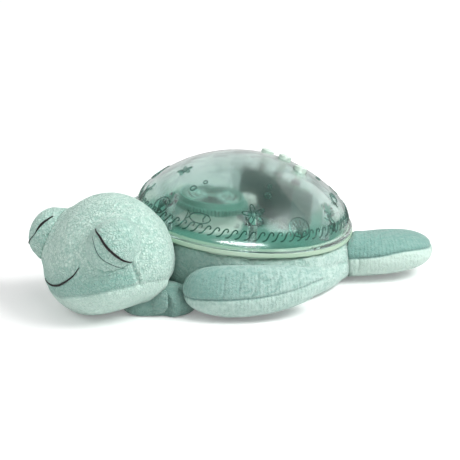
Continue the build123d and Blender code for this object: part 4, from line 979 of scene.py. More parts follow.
@dataclass
class PlushTurtle:
    """The sewn and stuffed turtle: body, neck, head, eyelids and flippers."""

    pose: HeadPose = HeadPose()
    shrink: float = 0.0012
    sewn_in: float = 0.0009
    near_limit: float = 0.012
    ground_pad: float = 0.0015
    hold_from: float = 0.0075
    hold_over: float = 0.005
    sewn_from: float = 0.0035
    sewn_over: float = 0.002
    jaw_groove: Groove = Groove(0.0022, 0.0006, 0.35)
    dart_groove: Groove = Groove(0.002, 0.0016, 0.7)
    cheek_groove: Groove = Groove(0.0045, 0.0016, 0.25)
    flipper_groove: Groove = Groove(0.0014, 0.0007, 0.35)
    edge_groove: Groove = Groove(0.0013, 0.0012, 0.8)
    body_groove: Groove = Groove(0.003, 0.0014, 0.35)
    front_edge: FlipperEdge = FlipperEdge(0.85, 0.105, 0.32)
    rear_edge: FlipperEdge = FlipperEdge(0.95, 0.4, 1.0)
    edge_fade: float = 1.35
    edge_blur: float = 0.002
    edge_lap: float = 0.001
    eye_width: float = 0.0011
    eye_end_width: float = 0.0005
    lid_seam_width: float = 0.00045
    smile_width: float = 0.00095
    thread_lift: float = 0.0002
    thread_end: float = 0.3
    thread_taper: float = 0.8
    smile_plane: float = -163.0
    smile_ahead: float = 0.05
    chin_blur: float = 0.003
    chin_start: float = 0.3
    jaw_lap: float = 0.002
    dart_gap: float = 0.002
    dart_blur: float = 0.006
    cheek_reach: float = 0.026
    cheek_blur: float = 0.017
    cheek_turned: float = 0.8
    body_turned: float = 0.7
    chest_from: float = -0.028
    chest_over: float = 0.025
    neck_turned: float = 0.9
    meet_limit: float = 0.02
    gusset_ground: float = 0.0003
    gusset_clamp: tuple[float, float] = (0.033, 0.014)
    meeting: float = 0.0034
    meeting_dark: float = 0.58
    lid_turned: float = 0.3
    pivot: tuple[float, float] = (0.04404, -0.05743)
    pivot_reach: float = 0.0223
    gusset_middle: Point = (0.031, -0.078, 0.008)
    gusset_size: Point = (0.032, 0.021, 0.0175)
    gusset_turn_deg: float = 55.0
    rim_turned: float = 0.8
    rim_reach: float = 0.019
    gusset_bend: Route = ((0.038, -0.076, 0.012), (0.060, -0.072, 0.012))
    front_bend: Route = ((0.046, -0.068, 0.024), (0.072, -0.058, 0.024))
    rear_bend: Route = ((0.066, 0.088, 0.02), (0.076, 0.110, 0.02))
    pieces: dict[str, Stuffed] = field(default_factory=dict)
    gussets: dict[Side, bpy.types.Object] = field(default_factory=dict)

    smile_middle: float = -12.0
    smile: tuple[tuple[float, float], ...] = (
        (-16.0, 34.4), (-12.0, 33.0), (-6.0, 31.8), (0.0, 31.4), (6.0, 31.9), (12.0, 33.2),
        (18.0, 35.6), (24.0, 38.6), (30.5, 42.8), (36.0, 49.5))
    left_eye: Route = (
        (34.5, -143.5, 82.5), (40.5, -147.5, 81.2), (47.6, -148.7, 77.3), (55.7, -147.9, 67.9),
        (59.7, -142.0, 59.3), (59.0, -134.0, 53.1), (54.1, -122.7, 49.1))
    right_eye: Route = (
        (-32.5, -136.2, 83.5), (-33.7, -141.7, 81.6), (-35.6, -147.0, 78.6), (-36.9, -150.2, 75.6),
        (-38.2, -152.6, 72.1))
    right_eye_far: Route = (
        (-37.6, -151.6, 73.6), (-38.2, -152.6, 72.1), (-42.0, -153.5, 67.5), (-48.5, -151.0, 62.5),
        (-55.0, -145.0, 58.5), (-58.0, -135.0, 53.0), (-54.0, -123.0, 49.0))
    lid_line: Route = (
        (37.0, -149.5, 77.0), (42.9, -152.7, 72.8), (47.3, -154.1, 65.6), (51.0, -151.9, 58.5),
        (54.0, -146.4, 53.0), (53.9, -139.6, 49.1), (52.1, -129.8, 45.2))
    jaw: Route = (
        (-9.5, -158.6, 21.2), (11.2, -159.6, 24.0), (26.8, -155.5, 25.7), (38.3, -148.3, 27.4),
        (46.4, -138.6, 29.0), (50.7, -128.3, 29.2), (53.0, -116.6, 28.8), (53.4, -107.6, 28.0),
        (52.3, -98.6, 27.0), (48.7, -87.7, 25.7), (42.0, -76.0, 24.0))
    dart: Route = (
        (54.1, -122.7, 49.1), (54.9, -121.2, 42.9), (54.7, -119.0, 35.5), (53.0, -116.6, 28.8))
    cheek_fold: Route = (
        (54.5, -112.3, 57.8), (55.6, -114.0, 51.5), (55.9, -116.4, 44.4), (55.3, -118.0, 37.9))
    front_seam: Route = (
        (45.0, -76.0, 18.0), (53.0, -73.5, 18.5), (62.5, -70.7, 19.2), (72.1, -66.8, 20.2),
        (81.0, -60.8, 21.4), (87.3, -55.1, 22.0), (92.9, -48.9, 22.6), (99.2, -40.3, 23.5),
        (105.2, -30.3, 24.2), (108.8, -22.8, 25.0), (111.9, -14.8, 25.8), (114.3, -6.4, 26.9),
        (115.9, 2.6, 28.0), (116.5, 12.4, 29.0), (115.5, 23.3, 30.0), (112.0, 33.0, 29.5),
        (107.0, 38.5, 28.5))
    front_creases: tuple[Route, ...] = (
        ((84.4, -47.5, 40.9), (86.2, -49.3, 37.2), (87.9, -51.5, 31.4), (88.5, -53.7, 23.4)),
        ((92.0, -35.2, 43.2), (93.6, -37.3, 40.2), (94.8, -39.7, 36.3), (96.3, -41.6, 31.0)),
        ((101.0, -25.9, 39.6), (102.1, -27.5, 36.9), (103.4, -30.6, 30.8), (103.2, -34.0, 23.8)),
        ((98.4, -23.1, 44.0), (100.5, -25.1, 40.8), (103.1, -22.8, 38.9), (105.3, -19.1, 38.2),
         (106.0, -14.8, 39.6), (105.0, -11.3, 42.3)),
        ((105.9, -6.6, 42.9), (108.5, -9.5, 38.6), (109.9, -13.0, 34.2), (111.0, -16.3, 27.3)),
        ((108.1, 12.2, 42.8), (109.9, 10.5, 41.1), (111.9, 8.7, 38.6), (114.2, 6.8, 34.5),
         (115.9, 6.6, 29.7)))
    rear_seam: Route = (
        (78.5, 79.0, 24.0), (80.6, 83.9, 24.4), (87.4, 92.5, 25.3), (93.4, 101.1, 26.5),
        (98.3, 110.6, 28.2), (102.1, 121.4, 30.1), (105.2, 132.7, 30.3), (105.3, 145.9, 29.0),
        (101.0, 156.0, 28.0), (93.0, 160.5, 27.0))
    rear_creases: tuple[Route, ...] = (
        ((84.9, 89.1, 23.7), (85.3, 89.4, 18.3), (82.9, 89.7, 11.9)),
        ((82.4, 85.7, 22.8), (81.8, 85.1, 18.2), (81.2, 86.7, 13.0)))
    body_creases: tuple[Route, ...] = (
        ((91.8, 49.1, 28.9), (88.1, 61.7, 26.8), (80.5, 78.0, 22.7)),
        ((64.9, -37.5, 48.0), (66.1, -36.8, 45.5), (67.3, -36.1, 43.1)),
        ((77.3, -21.9, 47.6), (78.8, -20.4, 45.5), (80.2, -18.8, 43.3)))

    def plan(self) -> None:
        """List the stuffed pieces with their voxel size and firmness."""
        rows = [("plush_body", 0.0035, 1, 0.8, FINISH.body), ("plush_neck", 0.003, 1, 0.7, FINISH.body),
                ("plush_head", 0.003, 2, 0.85, FINISH.head)]
        for side in Side:
            rows += [(f"{side.word}_eyelid", 0.002, 1, 0.8, FINISH.head),
                     (f"{side.word}_front_flipper", 0.003, 2, 0.6, FINISH.flipper),
                     (f"{side.word}_rear_flipper", 0.003, 2, 0.7, FINISH.flipper)]
        for node, voxel, levels, fill, finish in rows:
            self.pieces[node] = Stuffed(node, voxel=voxel, levels=levels, fill=fill, finish=finish)

    def held(self, stuffed: Stuffed) -> tuple[np.ndarray, np.ndarray]:
        """Where a piece is held, at its neighbours and on the ground, and where it is sewn to other cloth.

        Args:
            stuffed: the piece.

        Returns:
            Two weights of 0 to 1 for each point: held, and sewn.
        """
        cloth = [bpy.data.objects[n] for n in self.pieces if n != stuffed.node]
        hard = [bpy.data.objects[n] for n in ("shell_dome", "trim_ring", "base_tub")]
        places = coordinates(stuffed.piece)
        near = []
        for skin in (Stitching.skin(*cloth), Stitching.skin(*hard)):
            found = [skin.find_nearest(Vector(place), self.near_limit)[3] for place in places]
            near.append(np.array([far or self.near_limit for far in found]))
        ground = np.maximum(places[:, 2], 0.0) + self.ground_pad
        nearest = np.minimum(np.minimum(*near), ground)
        held = np.clip((self.hold_from - nearest) / self.hold_over, 0.0, 1.0)
        return held, np.clip((self.sewn_from - near[0]) / self.sewn_over, 0.0, 1.0)

    def stuff(self) -> None:
        """Cut, swell and finish every stuffed piece."""
        rests: dict[str, np.ndarray] = {}
        sewn: dict[str, np.ndarray] = {}
        for name, stuffed in self.pieces.items():
            piece = stuffed.cut()
            held, sewn[name] = self.held(stuffed)
            places = coordinates(piece)
            rests[name] = places - normals(piece) * (self.shrink * (1.0 - held))[:, None]
            set_coordinates(piece, rests[name])
            stuffed.hold(held)
        for number in range(1, SWELL_FRAMES + 1):
            bpy.context.scene.frame_set(number)
        for name, stuffed in self.pieces.items():
            stuffed.settle(rests[name])
        bpy.context.scene.frame_set(1)
        for name, stuffed in self.pieces.items():
            out = normals(stuffed.piece) * (self.sewn_in * sewn[name])[:, None]
            set_coordinates(stuffed.piece, coordinates(stuffed.piece) + out)
            stuffed.dress()

    def gusset(self, side: Side) -> None:
        """Model the soft gusset that joins the chest to a front flipper's root.

        Args:
            side: which flipper.
        """
        bpy.ops.object.select_all(action="DESELECT")
        bpy.ops.mesh.primitive_uv_sphere_add(segments=40, ring_count=24, radius=1.0, location=(0, 0, 0))
        piece = bpy.context.object
        piece.name = piece.data.name = f"{side.word}_chest_velour"
        bpy.ops.object.mode_set(mode="EDIT")
        bpy.ops.mesh.select_all(action="SELECT")
        bpy.ops.transform.resize(value=self.gusset_size)
        bpy.ops.object.mode_set(mode="OBJECT")
        turn = np.array(Matrix.Rotation(math.radians(self.gusset_turn_deg * side.value), 3, "Z"))
        places = coordinates(piece) @ turn.T + np.array(self.gusset_middle) * (side.value, 1, 1)
        pivot = np.array((self.pivot[0] * side.value, self.pivot[1]))
        away = places[:, :2] - pivot
        far = np.linalg.norm(away, axis=1, keepdims=True)
        start, over = self.gusset_clamp
        share = np.clip((places[:, :1] * side.value - start) / over, 0.0, 1.0)
        drawn = np.minimum(1.0, self.pivot_reach / np.maximum(far, 1e-6))
        places[:, :2] = pivot + away * (1.0 - share * (1.0 - drawn))
        places[:, 2] = np.maximum(places[:, 2], self.gusset_ground)
        set_coordinates(piece, places)
        subdivision = piece.modifiers.new("Fine", "SUBSURF")
        subdivision.levels = subdivision.render_levels = 1
        Bench.apply(piece)
        Bench.shade(piece)
        Bench.paint(piece, FINISH.body.material())
        # The gusset is painted shaded all over.
        Stitching.mark(piece, "turned", np.full(len(piece.data.vertices), 1.0), replace=True)
        self.gussets[side] = piece

    def sew_head(self) -> None:
        """Sew the head's jaw seam, darts and folds, mark its pale chin, and paint shade on its lower face
        and its eyelids.
        """
        head = self.pieces["plush_head"].piece
        half = np.array(self.jaw)
        other = half[:0:-1] * (-1, 1, 1) + (2 * self.smile_middle, 0, 0)
        jaw = Stitching.run(self.pose.place(np.vstack([other, half])))
        jaw = Stitching.snap(jaw, Stitching.skin(head))
        _, nearest = Stitching.distance(head, jaw)
        below = jaw[nearest][:, 2] - coordinates(head)[:, 2]
        chin = np.clip(below / self.chin_blur + self.chin_start, 0.0, 1.0)
        Stitching.mark(head, "pale", chin, replace=True)
        # Painted shade on the lower face ahead of the darts, from the jaw seam up, fading out above it.
        ahead = self.dart[-1][1] * MM + self.dart_gap - coordinates(head)[:, 1]
        ahead = np.clip(ahead / self.dart_blur, 0.0, 1.0) * (below < self.jaw_lap)
        cheek = np.clip((self.cheek_reach + below) / self.cheek_blur, 0.0, 1.0)
        Stitching.mark(head, "turned", cheek * ahead * self.cheek_turned, replace=True)
        Stitching.groove(head, jaw, self.jaw_groove)
        for side in Side:
            lid = self.pieces[f"{side.word}_eyelid"].piece
            # The eyelids get a little painted shade all over.
            Stitching.mark(lid, "turned", np.full(len(lid.data.vertices), self.lid_turned), replace=True)
            turn = np.array((side.value, 1, 1))
            for line, groove in ((self.dart, self.dart_groove), (self.cheek_fold, self.cheek_groove)):
                Stitching.groove(head, Stitching.run(self.pose.place(np.array(line) * turn)), groove)

    def sew_face(self) -> None:
        """Embroider the closed eyes and the smile, and lay a dark thread as painted shade along the left
        lower lid's seam.
        """
        head = self.pieces["plush_head"].piece
        for side, name, line, width in (
                (Side.LEFT, "left_eye_thread", self.left_eye, self.eye_width),
                (Side.RIGHT, "right_eye_thread", self.right_eye, self.eye_width),
                (Side.RIGHT, "right_eye_thread_end", self.right_eye_far, self.eye_end_width)):
            lid = self.pieces[f"{side.word}_eyelid"].piece
            run = Stitching.run(self.pose.place(line))
            self.embroider(name, Stitching.snap(run, Stitching.skin(lid, head), self.thread_lift), width)
        # Painted shade: a dark thread along the lower lid's seam stands in for the shade in its groove.
        fold = Stitching.run(self.pose.place(np.array(self.lid_line)))
        fold = Stitching.snap(fold, Stitching.skin(self.pieces["left_eyelid"].piece, head))
        self.embroider("left_lid_seam", fold, self.lid_seam_width, FINISH.seam)
        both = np.array(self.smile)
        level = np.full(len(both), self.smile_plane)
        points = np.column_stack([both[:, 0] + self.smile_middle, level, both[:, 1]])
        skin, way = Stitching.skin(head), self.pose.ahead()
        run = Stitching.run(self.pose.place(points))
        hits = [skin.ray_cast(Vector(point) - way * self.smile_ahead, way)[0] for point in run]
        run = Stitching.snap(np.array([hit for hit in hits if hit is not None]), skin, self.thread_lift)
        self.embroider("smile_thread", run, self.smile_width)

    def embroider(self, name: str, run: Line, width: float, finish: Thread = FINISH.thread) -> None:
        """Lay one embroidered line that thins out at its ends.

        Args:
            name: the piece's name.
            run: points on the cloth.
            width: its half width where it is thickest.
            finish: its thread.
        """
        share = np.linspace(0.0, 1.0, len(run))
        thick = np.sin(share * math.pi) ** self.thread_taper
        widths = width * (self.thread_end + (1.0 - self.thread_end) * thick)
        piece = Stitching.thread(name, run, widths, finish)
        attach(piece, ROOT)
        Bench.report(piece)

    def sew_flippers(self) -> None:
        """Sew the flippers' edge seams and creases, mark their pale under sides and ribs, and paint shade on
        the front of the body and on the neck.
        """
        for side in Side:
            turn = np.array((side.value, 1, 1)) * MM
            front = self.pieces[f"{side.word}_front_flipper"].piece
            self.sew_edge(front, Stitching.run(np.array(self.front_seam) * turn), self.front_edge)
            for crease in self.front_creases:
                Stitching.groove(front, Stitching.run(np.array(crease) * turn), self.flipper_groove)
            rear = self.pieces[f"{side.word}_rear_flipper"].piece
            self.sew_edge(rear, Stitching.run(np.array(self.rear_seam) * turn), self.rear_edge)
            for crease in self.rear_creases:
                Stitching.groove(rear, Stitching.run(np.array(crease) * turn), self.flipper_groove)
        body, neck = self.pieces["plush_body"].piece, self.pieces["plush_neck"].piece
        # Painted shade on the front of the body, and on the whole neck.
        chest = (self.chest_from - coordinates(body)[:, 1]) / self.chest_over
        chest = np.clip(chest, 0.0, self.body_turned)
        Stitching.mark(body, "turned", chest, replace=True)
        Stitching.mark(neck, "turned", np.full(len(neck.data.vertices), self.neck_turned), replace=True)
        for crease in self.body_creases:
            for side in Side:
                line = np.array(crease) * np.array((side.value, 1, 1)) * MM
                Stitching.groove(body, Stitching.run(line), self.body_groove)

    def sew_edge(self, piece: bpy.types.Object, seam: Line, edge: FlipperEdge) -> None:
        """Sew a flipper's edge seam, mark the cloth under it pale and paint shade over it.

        Args:
            piece: the flipper.
            seam: points in metres.
            edge: its painted shade and its pale under side.
        """
        seam = Stitching.snap(seam, Stitching.skin(piece))
        flat = seam.copy()
        flat[:, 2] = 0.0
        places = coordinates(piece)
        tree = Stitching.tree(flat)
        nearest = np.array([tree.find((x, y, 0.0))[1] for x, y, _ in places])
        below = seam[nearest][:, 2] - places[:, 2]
        Stitching.mark(piece, "pale", np.clip(below / self.edge_blur, 0.0, 1.0) * edge.under, replace=True)
        steps = np.linalg.norm(np.diff(seam, axis=0), axis=1)
        along = np.concatenate([[0.0], np.cumsum(steps)])
        Stitching.mark(piece, "along", along[nearest], replace=True)
        # Painted shade over the seam, fading out along it.
        fade = np.clip(self.edge_fade * (1.0 - along[nearest] / edge.until), 0.0, 1.0)
        Stitching.mark(piece, "turned", edge.turned * fade * (below < self.edge_lap), replace=True)
        Stitching.groove(piece, seam, self.edge_groove)

    def meet(self) -> None:
        """Paint shade on the cloth where one stuffed piece meets another, and along each front flipper's rim
        near the body.
        """
        cloths = {name: stuffed.piece for name, stuffed in self.pieces.items()
                  if not name.endswith("_eyelid")}
        cloths.update({f"{side.word}_chest": piece for side, piece in self.gussets.items()})
        skins = {name: Stitching.skin(cloth) for name, cloth in cloths.items()}
        one_cloth = {"plush_neck", "left_chest", "right_chest"}
        for name, cloth in cloths.items():
            near = {}
            for other, skin in skins.items():
                if other != name and not {name, other} <= one_cloth:
                    found = [skin.find_nearest(v.co, self.meet_limit)[3] for v in cloth.data.vertices]
                    near[other] = np.array([far or self.meet_limit for far in found])
            nearest = np.min(list(near.values()), axis=0)
            # Painted shade where pieces meet.
            Stitching.mark(cloth, "crease", np.exp(-(nearest / self.meeting) ** 2) * self.meeting_dark)
            if name.endswith("_front_flipper"):
                # Painted shade along a front flipper's rim where it lies near the body.
                rim = np.clip(1.0 - near["plush_body"] / self.rim_reach, 0.0, 1.0)
                Stitching.mark(cloth, "turned", self.rim_turned * rim)

    def mount(self) -> None:
        """Set the body, neck, head and eyelids on the turtle's body, bake the flippers' and gussets' places,
        hide the solids that the stuffed pieces stand for and log each piece.
        """
        for name, stuffed in self.pieces.items():
            if name.endswith("_flipper"):
                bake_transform(stuffed.piece)
            else:
                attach(stuffed.piece, ROOT)
            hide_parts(name)
            Bench.report(stuffed.piece)
        for side, piece in self.gussets.items():
            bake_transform(piece)
            Bench.report(piece)

    def build(self) -> None:
        """Make the whole plush turtle."""
        self.plan()
        self.stuff()
        self.sew_head()
        self.sew_flippers()
        for side in Side:
            self.gusset(side)
        self.meet()
        self.mount()
        self.sew_face()


class Motif(Enum):
    """Plain sea shapes raised on the shell."""

    STAR = "star"
    FAN = "fan"
    FISH = "fish"
    WEED = "weed"
    BUBBLE = "bubble"


@dataclass
class DomeShell:
    """The clear shell, the shapes raised on it and its running-wave border."""

    middle: Point = (0.0, 0.029, 0.051)
    tilt_deg: float = 7.0
    crown_radius: float = 0.1167
    crown_level: float = -0.0647
    shoulder_reach: float = 0.065
    shoulder_radius: float = 0.025
    wall: float = 0.0024
    true_within: float = 0.0004
    wave_slope_deg: float = 75.0
    wave_count: int = 72
    wave_height: float = 0.0075
    relief: float = 0.0007
    motif_width: float = 0.0009
    wave_width: float = 0.0011
    wave_step: float = 0.0009
    wave_reach: float = 0.0885
    crown_until: float = 0.78
    flange_reach: float = 0.0235
    flange_level: float = -0.0025
    flange_lift: float = 0.00015
    layout: tuple[tuple[Motif, float, float, float, float], ...] = (
        (Motif.FISH, -62.0, 47.0, 0.0, 1.0), (Motif.STAR, -30.0, 40.0, 12.0, 1.0),
        (Motif.FAN, -2.0, 50.0, 0.0, 1.0), (Motif.WEED, 24.0, 52.0, 0.0, 1.0),
        (Motif.BUBBLE, -18.0, 30.0, 0.0, 1.0), (Motif.BUBBLE, -13.0, 25.0, 0.0, 0.7),
        (Motif.FISH, 48.0, 40.0, 20.0, 0.8), (Motif.STAR, 78.0, 48.0, 0.0, 0.8),
        (Motif.FAN, -92.0, 49.0, 0.0, 0.9), (Motif.WEED, -118.0, 52.0, 0.0, 1.0),
        (Motif.FISH, -142.0, 42.0, -10.0, 1.0), (Motif.STAR, -168.0, 48.0, 30.0, 1.0),
        (Motif.FAN, 160.0, 50.0, 0.0, 1.0), (Motif.WEED, 132.0, 52.0, 0.0, 0.9),
        (Motif.FISH, 106.0, 45.0, 10.0, 0.9), (Motif.BUBBLE, 150.0, 33.0, 0.0, 1.0),
        (Motif.BUBBLE, -80.0, 33.0, 0.0, 1.0), (Motif.BUBBLE, -75.0, 28.0, 0.0, 0.7),
        (Motif.BUBBLE, 66.0, 32.0, 0.0, 0.8), (Motif.STAR, -110.0, 28.0, 0.0, 0.7))

    @property
    def joint(self) -> float:
        """The slope at which the crown's arc meets the shoulder's, in radians."""
        return math.atan2(self.shoulder_reach, -self.crown_level)

    @property
    def tilt(self) -> Matrix:
        """The shell's tilt to the back."""
        return Matrix.Rotation(math.radians(-self.tilt_deg), 3, "X")

    def on_shell(self, azimuth: float, slope: float, lift: float) -> Vector:
        """A place on the shell's outer face.

        Args:
            azimuth: the angle around the axis, from +X towards +Y, in radians.
            slope: the angle of the face's normal from the axis, in radians.
            lift: how far above the face.

        Returns:
            The place in the turtle's frame.
        """
        if slope <= self.joint:
            reach = self.crown_radius * math.sin(slope)
            level = self.crown_level + self.crown_radius * math.cos(slope)
        else:
            reach = self.shoulder_reach + self.shoulder_radius * math.sin(slope)
            level = self.shoulder_radius * math.cos(slope)
        reach, level = reach + lift * math.sin(slope), level + lift * math.cos(slope)
        place = Vector((reach * math.cos(azimuth), reach * math.sin(azimuth), level))
        return self.tilt @ place + Vector(self.middle)

    def slope_after(self, slope: float, run: float) -> float:
        """The slope reached after a run down the shell's face.

        Args:
            slope: where the run starts, in radians.
            run: its length, down the face.

        Returns:
            The slope at its end, in radians.
        """
        joint = self.joint
        arc = self.crown_radius * min(slope, joint) + self.shoulder_radius * max(0.0, slope - joint) + run
        edge = self.crown_radius * joint
        return arc / self.crown_radius if arc <= edge else joint + (arc - edge) / self.shoulder_radius

    def wrap(self, piece: bpy.types.Object, azimuth_deg: float, slope_deg: float, turn_deg: float,
             size: float) -> None:
        """Lay a flat motif on the shell.

        Args:
            piece: the motif, flat in X and Y, with its height along Z.
            azimuth_deg: where it lies around the axis.
            slope_deg: where it lies down the shell.
            turn_deg: its turn in its own plane.
            size: its scale.
        """
        turn = Matrix.Rotation(math.radians(turn_deg), 3, "Z")
        azimuth, slope = math.radians(azimuth_deg), math.radians(slope_deg)
        for vertex in piece.data.vertices:
            flat = turn @ Vector((vertex.co.x * size, vertex.co.y * size, 0.0))
            here = self.slope_after(slope, -flat.y)
            reach = (self.crown_radius * math.sin(here) if here < self.crown_until else
                     self.shoulder_reach + self.shoulder_radius * math.sin(here))
            vertex.co = self.on_shell(azimuth + flat.x / max(reach, 0.01), here, vertex.co.z)
        piece.data.update()

    def band(self, name: str, line: Line, width: float) -> bpy.types.Object:
        """Model one raised line of the shell's relief, flat in X and Y.

        Args:
            name: the piece's name.
            line: the points along its middle, in metres.
            width: its width.

        Returns:
            The raised line.
        """
        bpy.ops.object.select_all(action="DESELECT")
        bpy.ops.mesh.primitive_grid_add(x_subdivisions=len(line) - 1, y_subdivisions=1, size=1.0,
                                        location=(0, 0, 0))
        piece = bpy.context.object
        piece.name = piece.data.name = name
        way = np.gradient(line, axis=0)
        if np.allclose(line[0], line[-1]):
            way[0] = way[-1] = line[1] - line[-2]
        across = np.column_stack([-way[:, 1], way[:, 0]]) / np.linalg.norm(way, axis=1, keepdims=True)
        order = sorted(piece.data.vertices, key=lambda v: (round(v.co.y, 3), v.co.x))
        for row, sign in ((order[:len(line)], -0.5), (order[len(line):], 0.5)):
            for vertex, point, side in zip(row, line, across):
                vertex.co = (*(point + side * width * sign), 0.0)
        Bench.only(piece)
        bpy.ops.object.mode_set(mode="EDIT")
        bpy.ops.mesh.select_all(action="SELECT")
        bpy.ops.mesh.remove_doubles(threshold=WELD)
        bpy.ops.mesh.extrude_region_move(TRANSFORM_OT_translate={"value": (0.0, 0.0, self.relief)})
        bpy.ops.mesh.select_all(action="SELECT")
        bpy.ops.mesh.normals_make_consistent(inside=False)
        bpy.ops.object.mode_set(mode="OBJECT")
        return piece

    def strokes(self, motif: Motif) -> list[Line]:
        """The lines that draw a motif.

        Args:
            motif: which one.

        Returns:
            Lines of points in metres, closed where the first and last point are one.
        """
        turn = np.linspace(0.0, 2 * math.pi, 41)
        if motif is Motif.STAR:
            reach = 0.0062 + 0.0040 * np.cos(5 * turn)
            dots = [0.0026 * np.array((math.sin(a), math.cos(a))) for a in turn[:-1:8]]
            return [np.column_stack([reach * np.sin(turn), reach * np.cos(turn)]),
                    *(np.array([d * 0.6, d, d * 1.5]) for d in dots)]
        if motif is Motif.FAN:
            angles = np.radians(np.linspace(-50, 230, 29))
            rim = np.column_stack([0.009 * np.cos(angles), 0.009 * np.sin(angles)])
            rim = np.vstack([[(0.0, -0.0088)], rim, [(0.0, -0.0088)]])
            ribs = [np.array([(0.0, -0.0075), (0.0034 * c, 0.0005), (0.0068 * c, 0.0072 - 0.0028 * abs(c))])
                    for c in (-0.9, -0.3, 0.3, 0.9)]
            return [rim, *ribs]
        if motif is Motif.FISH:
            body = np.column_stack([0.0095 * np.cos(turn), 0.0046 * np.sin(turn)])
            tail = np.array([(-0.0092, 0.0006), (-0.0132, 0.0042), (-0.0122, 0.0), (-0.0132, -0.0042),
                             (-0.0092, -0.0006)])
            gill = np.array([(0.0042, 0.0030), (0.0030, 0.0), (0.0042, -0.0030)])
            return [body, tail, gill]
        if motif is Motif.WEED:
            rise = np.linspace(0.0, 1.0, 14)
            stems = ((-0.0045, 0.014), (0.0004, 0.020), (0.0048, 0.0155))
            sways = [lean * rise + 0.0018 * np.sin(rise * 9.0 + lean * 900.0) for lean, _ in stems]
            return [np.column_stack([sway, high * rise - 0.009]) for sway, (_, high) in zip(sways, stems)]
        small = turn[::2]
        return [np.column_stack([0.0026 * np.cos(small), 0.0026 * np.sin(small)])]

    def motifs(self) -> None:
        """Model each motif once, copy it around the shell and join the copies."""
        models = {m: [self.band(f"model_{m.value}", line, self.motif_width) for line in self.strokes(m)]
                  for m in Motif}
        copies = []
        for motif, azimuth, slope, turn, size in self.layout:
            for model in models[motif]:
                copies.append(self.copy(model, azimuth, slope, turn, size))
        for model in (piece for pieces in models.values() for piece in pieces):
            bpy.data.objects.remove(model)
        self.join("shell_relief", copies)

    def copy(self, model: bpy.types.Object, azimuth: float, slope: float, turn: float,
             size: float) -> bpy.types.Object:
        """Copy a model with its own mesh and lay it on the shell.

        Args:
            model: the flat model.
            azimuth: where it lies around the axis, in degrees.
            slope: where it lies down the shell, in degrees.
            turn: its turn in its own plane, in degrees.
            size: its scale.

        Returns:
            The copy.
        """
        copy = model.copy()
        copy.data = model.data.copy()
        bpy.context.scene.collection.objects.link(copy)
        self.wrap(copy, azimuth, slope, turn, size)
        return copy

    def waves(self) -> None:
        """Model one running wave and copy it all around the shell's foot."""
        pitch = 2 * math.pi * self.wave_reach / self.wave_count
        wave = np.array([(0.0, 0.0), (0.3, 0.08), (0.55, 0.35), (0.72, 0.72), (0.92, 0.96), (1.14, 0.94),
                         (1.22, 0.74), (1.1, 0.62)]) * (pitch, self.wave_height)
        model = self.band("model_wave", Stitching.run(wave, self.wave_step), self.wave_width)
        copies = [self.copy(model, 360.0 * number / self.wave_count, self.wave_slope_deg, 0.0, 1.0)
                  for number in range(self.wave_count)]
        bpy.data.objects.remove(model)
        self.join("shell_wave_border", copies)

    def clear_shell(self) -> None:
        """Copy the shell's solid with finer faces, each true to the shell's arcs and shaded smooth."""
        source = bpy.data.objects["shell_dome"]
        piece = bpy.data.objects.new("shell_dome_clear", source.data.copy())
        bpy.context.scene.collection.objects.link(piece)
        Bench.only(piece)
        bpy.ops.object.mode_set(mode="EDIT")
        bpy.ops.mesh.select_all(action="SELECT")
        bpy.ops.mesh.remove_doubles(threshold=WELD)
        bpy.ops.mesh.subdivide(number_cuts=1)
        bpy.ops.object.mode_set(mode="OBJECT")
        set_coordinates(piece, self.true_to_arcs(coordinates(piece)))
        Bench.shade(piece, Shading.BY_ANGLE)
        Bench.paint(piece, FINISH.dome.material())
        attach(piece, ROOT)
        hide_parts("shell_dome")
        Bench.report(piece)

    def true_to_arcs(self, places: np.ndarray) -> np.ndarray:
        """Bring points that lie close to the shell's outer or inner arcs onto them.

        Args:
            places: points in the turtle's frame.

        Returns:
            The points, those near an arc moved onto it.
        """
        turn = np.array(self.tilt)
        own = (places - np.array(self.middle)) @ turn
        joint = self.joint
        reach = np.maximum(np.hypot(own[:, 0], own[:, 1]), 1e-9)
        for inset in (0.0, self.wall):
            arcs = ((0.0, self.crown_level, self.crown_radius - inset, True),
                    (self.shoulder_reach, 0.0, self.shoulder_radius - inset, False))
            for centre, level, radius, crown in arcs:
                along, rise = reach - centre, own[:, 2] - level
                far = np.maximum(np.hypot(along, rise), 1e-9)
                slope = np.arctan2(along, rise)
                mine = (slope <= joint) if crown else (slope > joint) & (slope < math.pi / 2)
                mine &= np.abs(far - radius) < self.true_within
                moved = centre + along * radius / far
                own[mine, :2] *= (moved / reach)[mine, None]
                own[mine, 2] = (level + rise * radius / far)[mine]
                reach = np.maximum(np.hypot(own[:, 0], own[:, 1]), 1e-9)
        flange = (reach > self.shoulder_reach + self.flange_reach) & (own[:, 2] < self.flange_level)
        own[flange, 2] += self.flange_lift
        return own @ turn.T + np.array(self.middle)

    def join(self, name: str, copies: list[bpy.types.Object]) -> None:
        """Join copies into one raised piece of the shell and finish it.

        Args:
            name: the piece's name.
            copies: the copies.
        """
        Bench.only(copies[0])
        for copy in copies:
            copy.select_set(True)
        bpy.ops.object.join()
        piece = bpy.context.object
        piece.name = piece.data.name = name
        Bench.only(piece)
        bpy.ops.object.mode_set(mode="EDIT")
        bpy.ops.mesh.select_all(action="SELECT")
        bpy.ops.mesh.normals_make_consistent(inside=False)
        bpy.ops.object.mode_set(mode="OBJECT")
        Bench.shade(piece, Shading.BY_ANGLE)
        Bench.paint(piece, FINISH.relief.material())
        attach(piece, ROOT)
        Bench.report(piece)

    def build(self) -> None:
        """Make the clear shell, its shapes and its border."""
        self.clear_shell()
        self.motifs()
        self.waves()


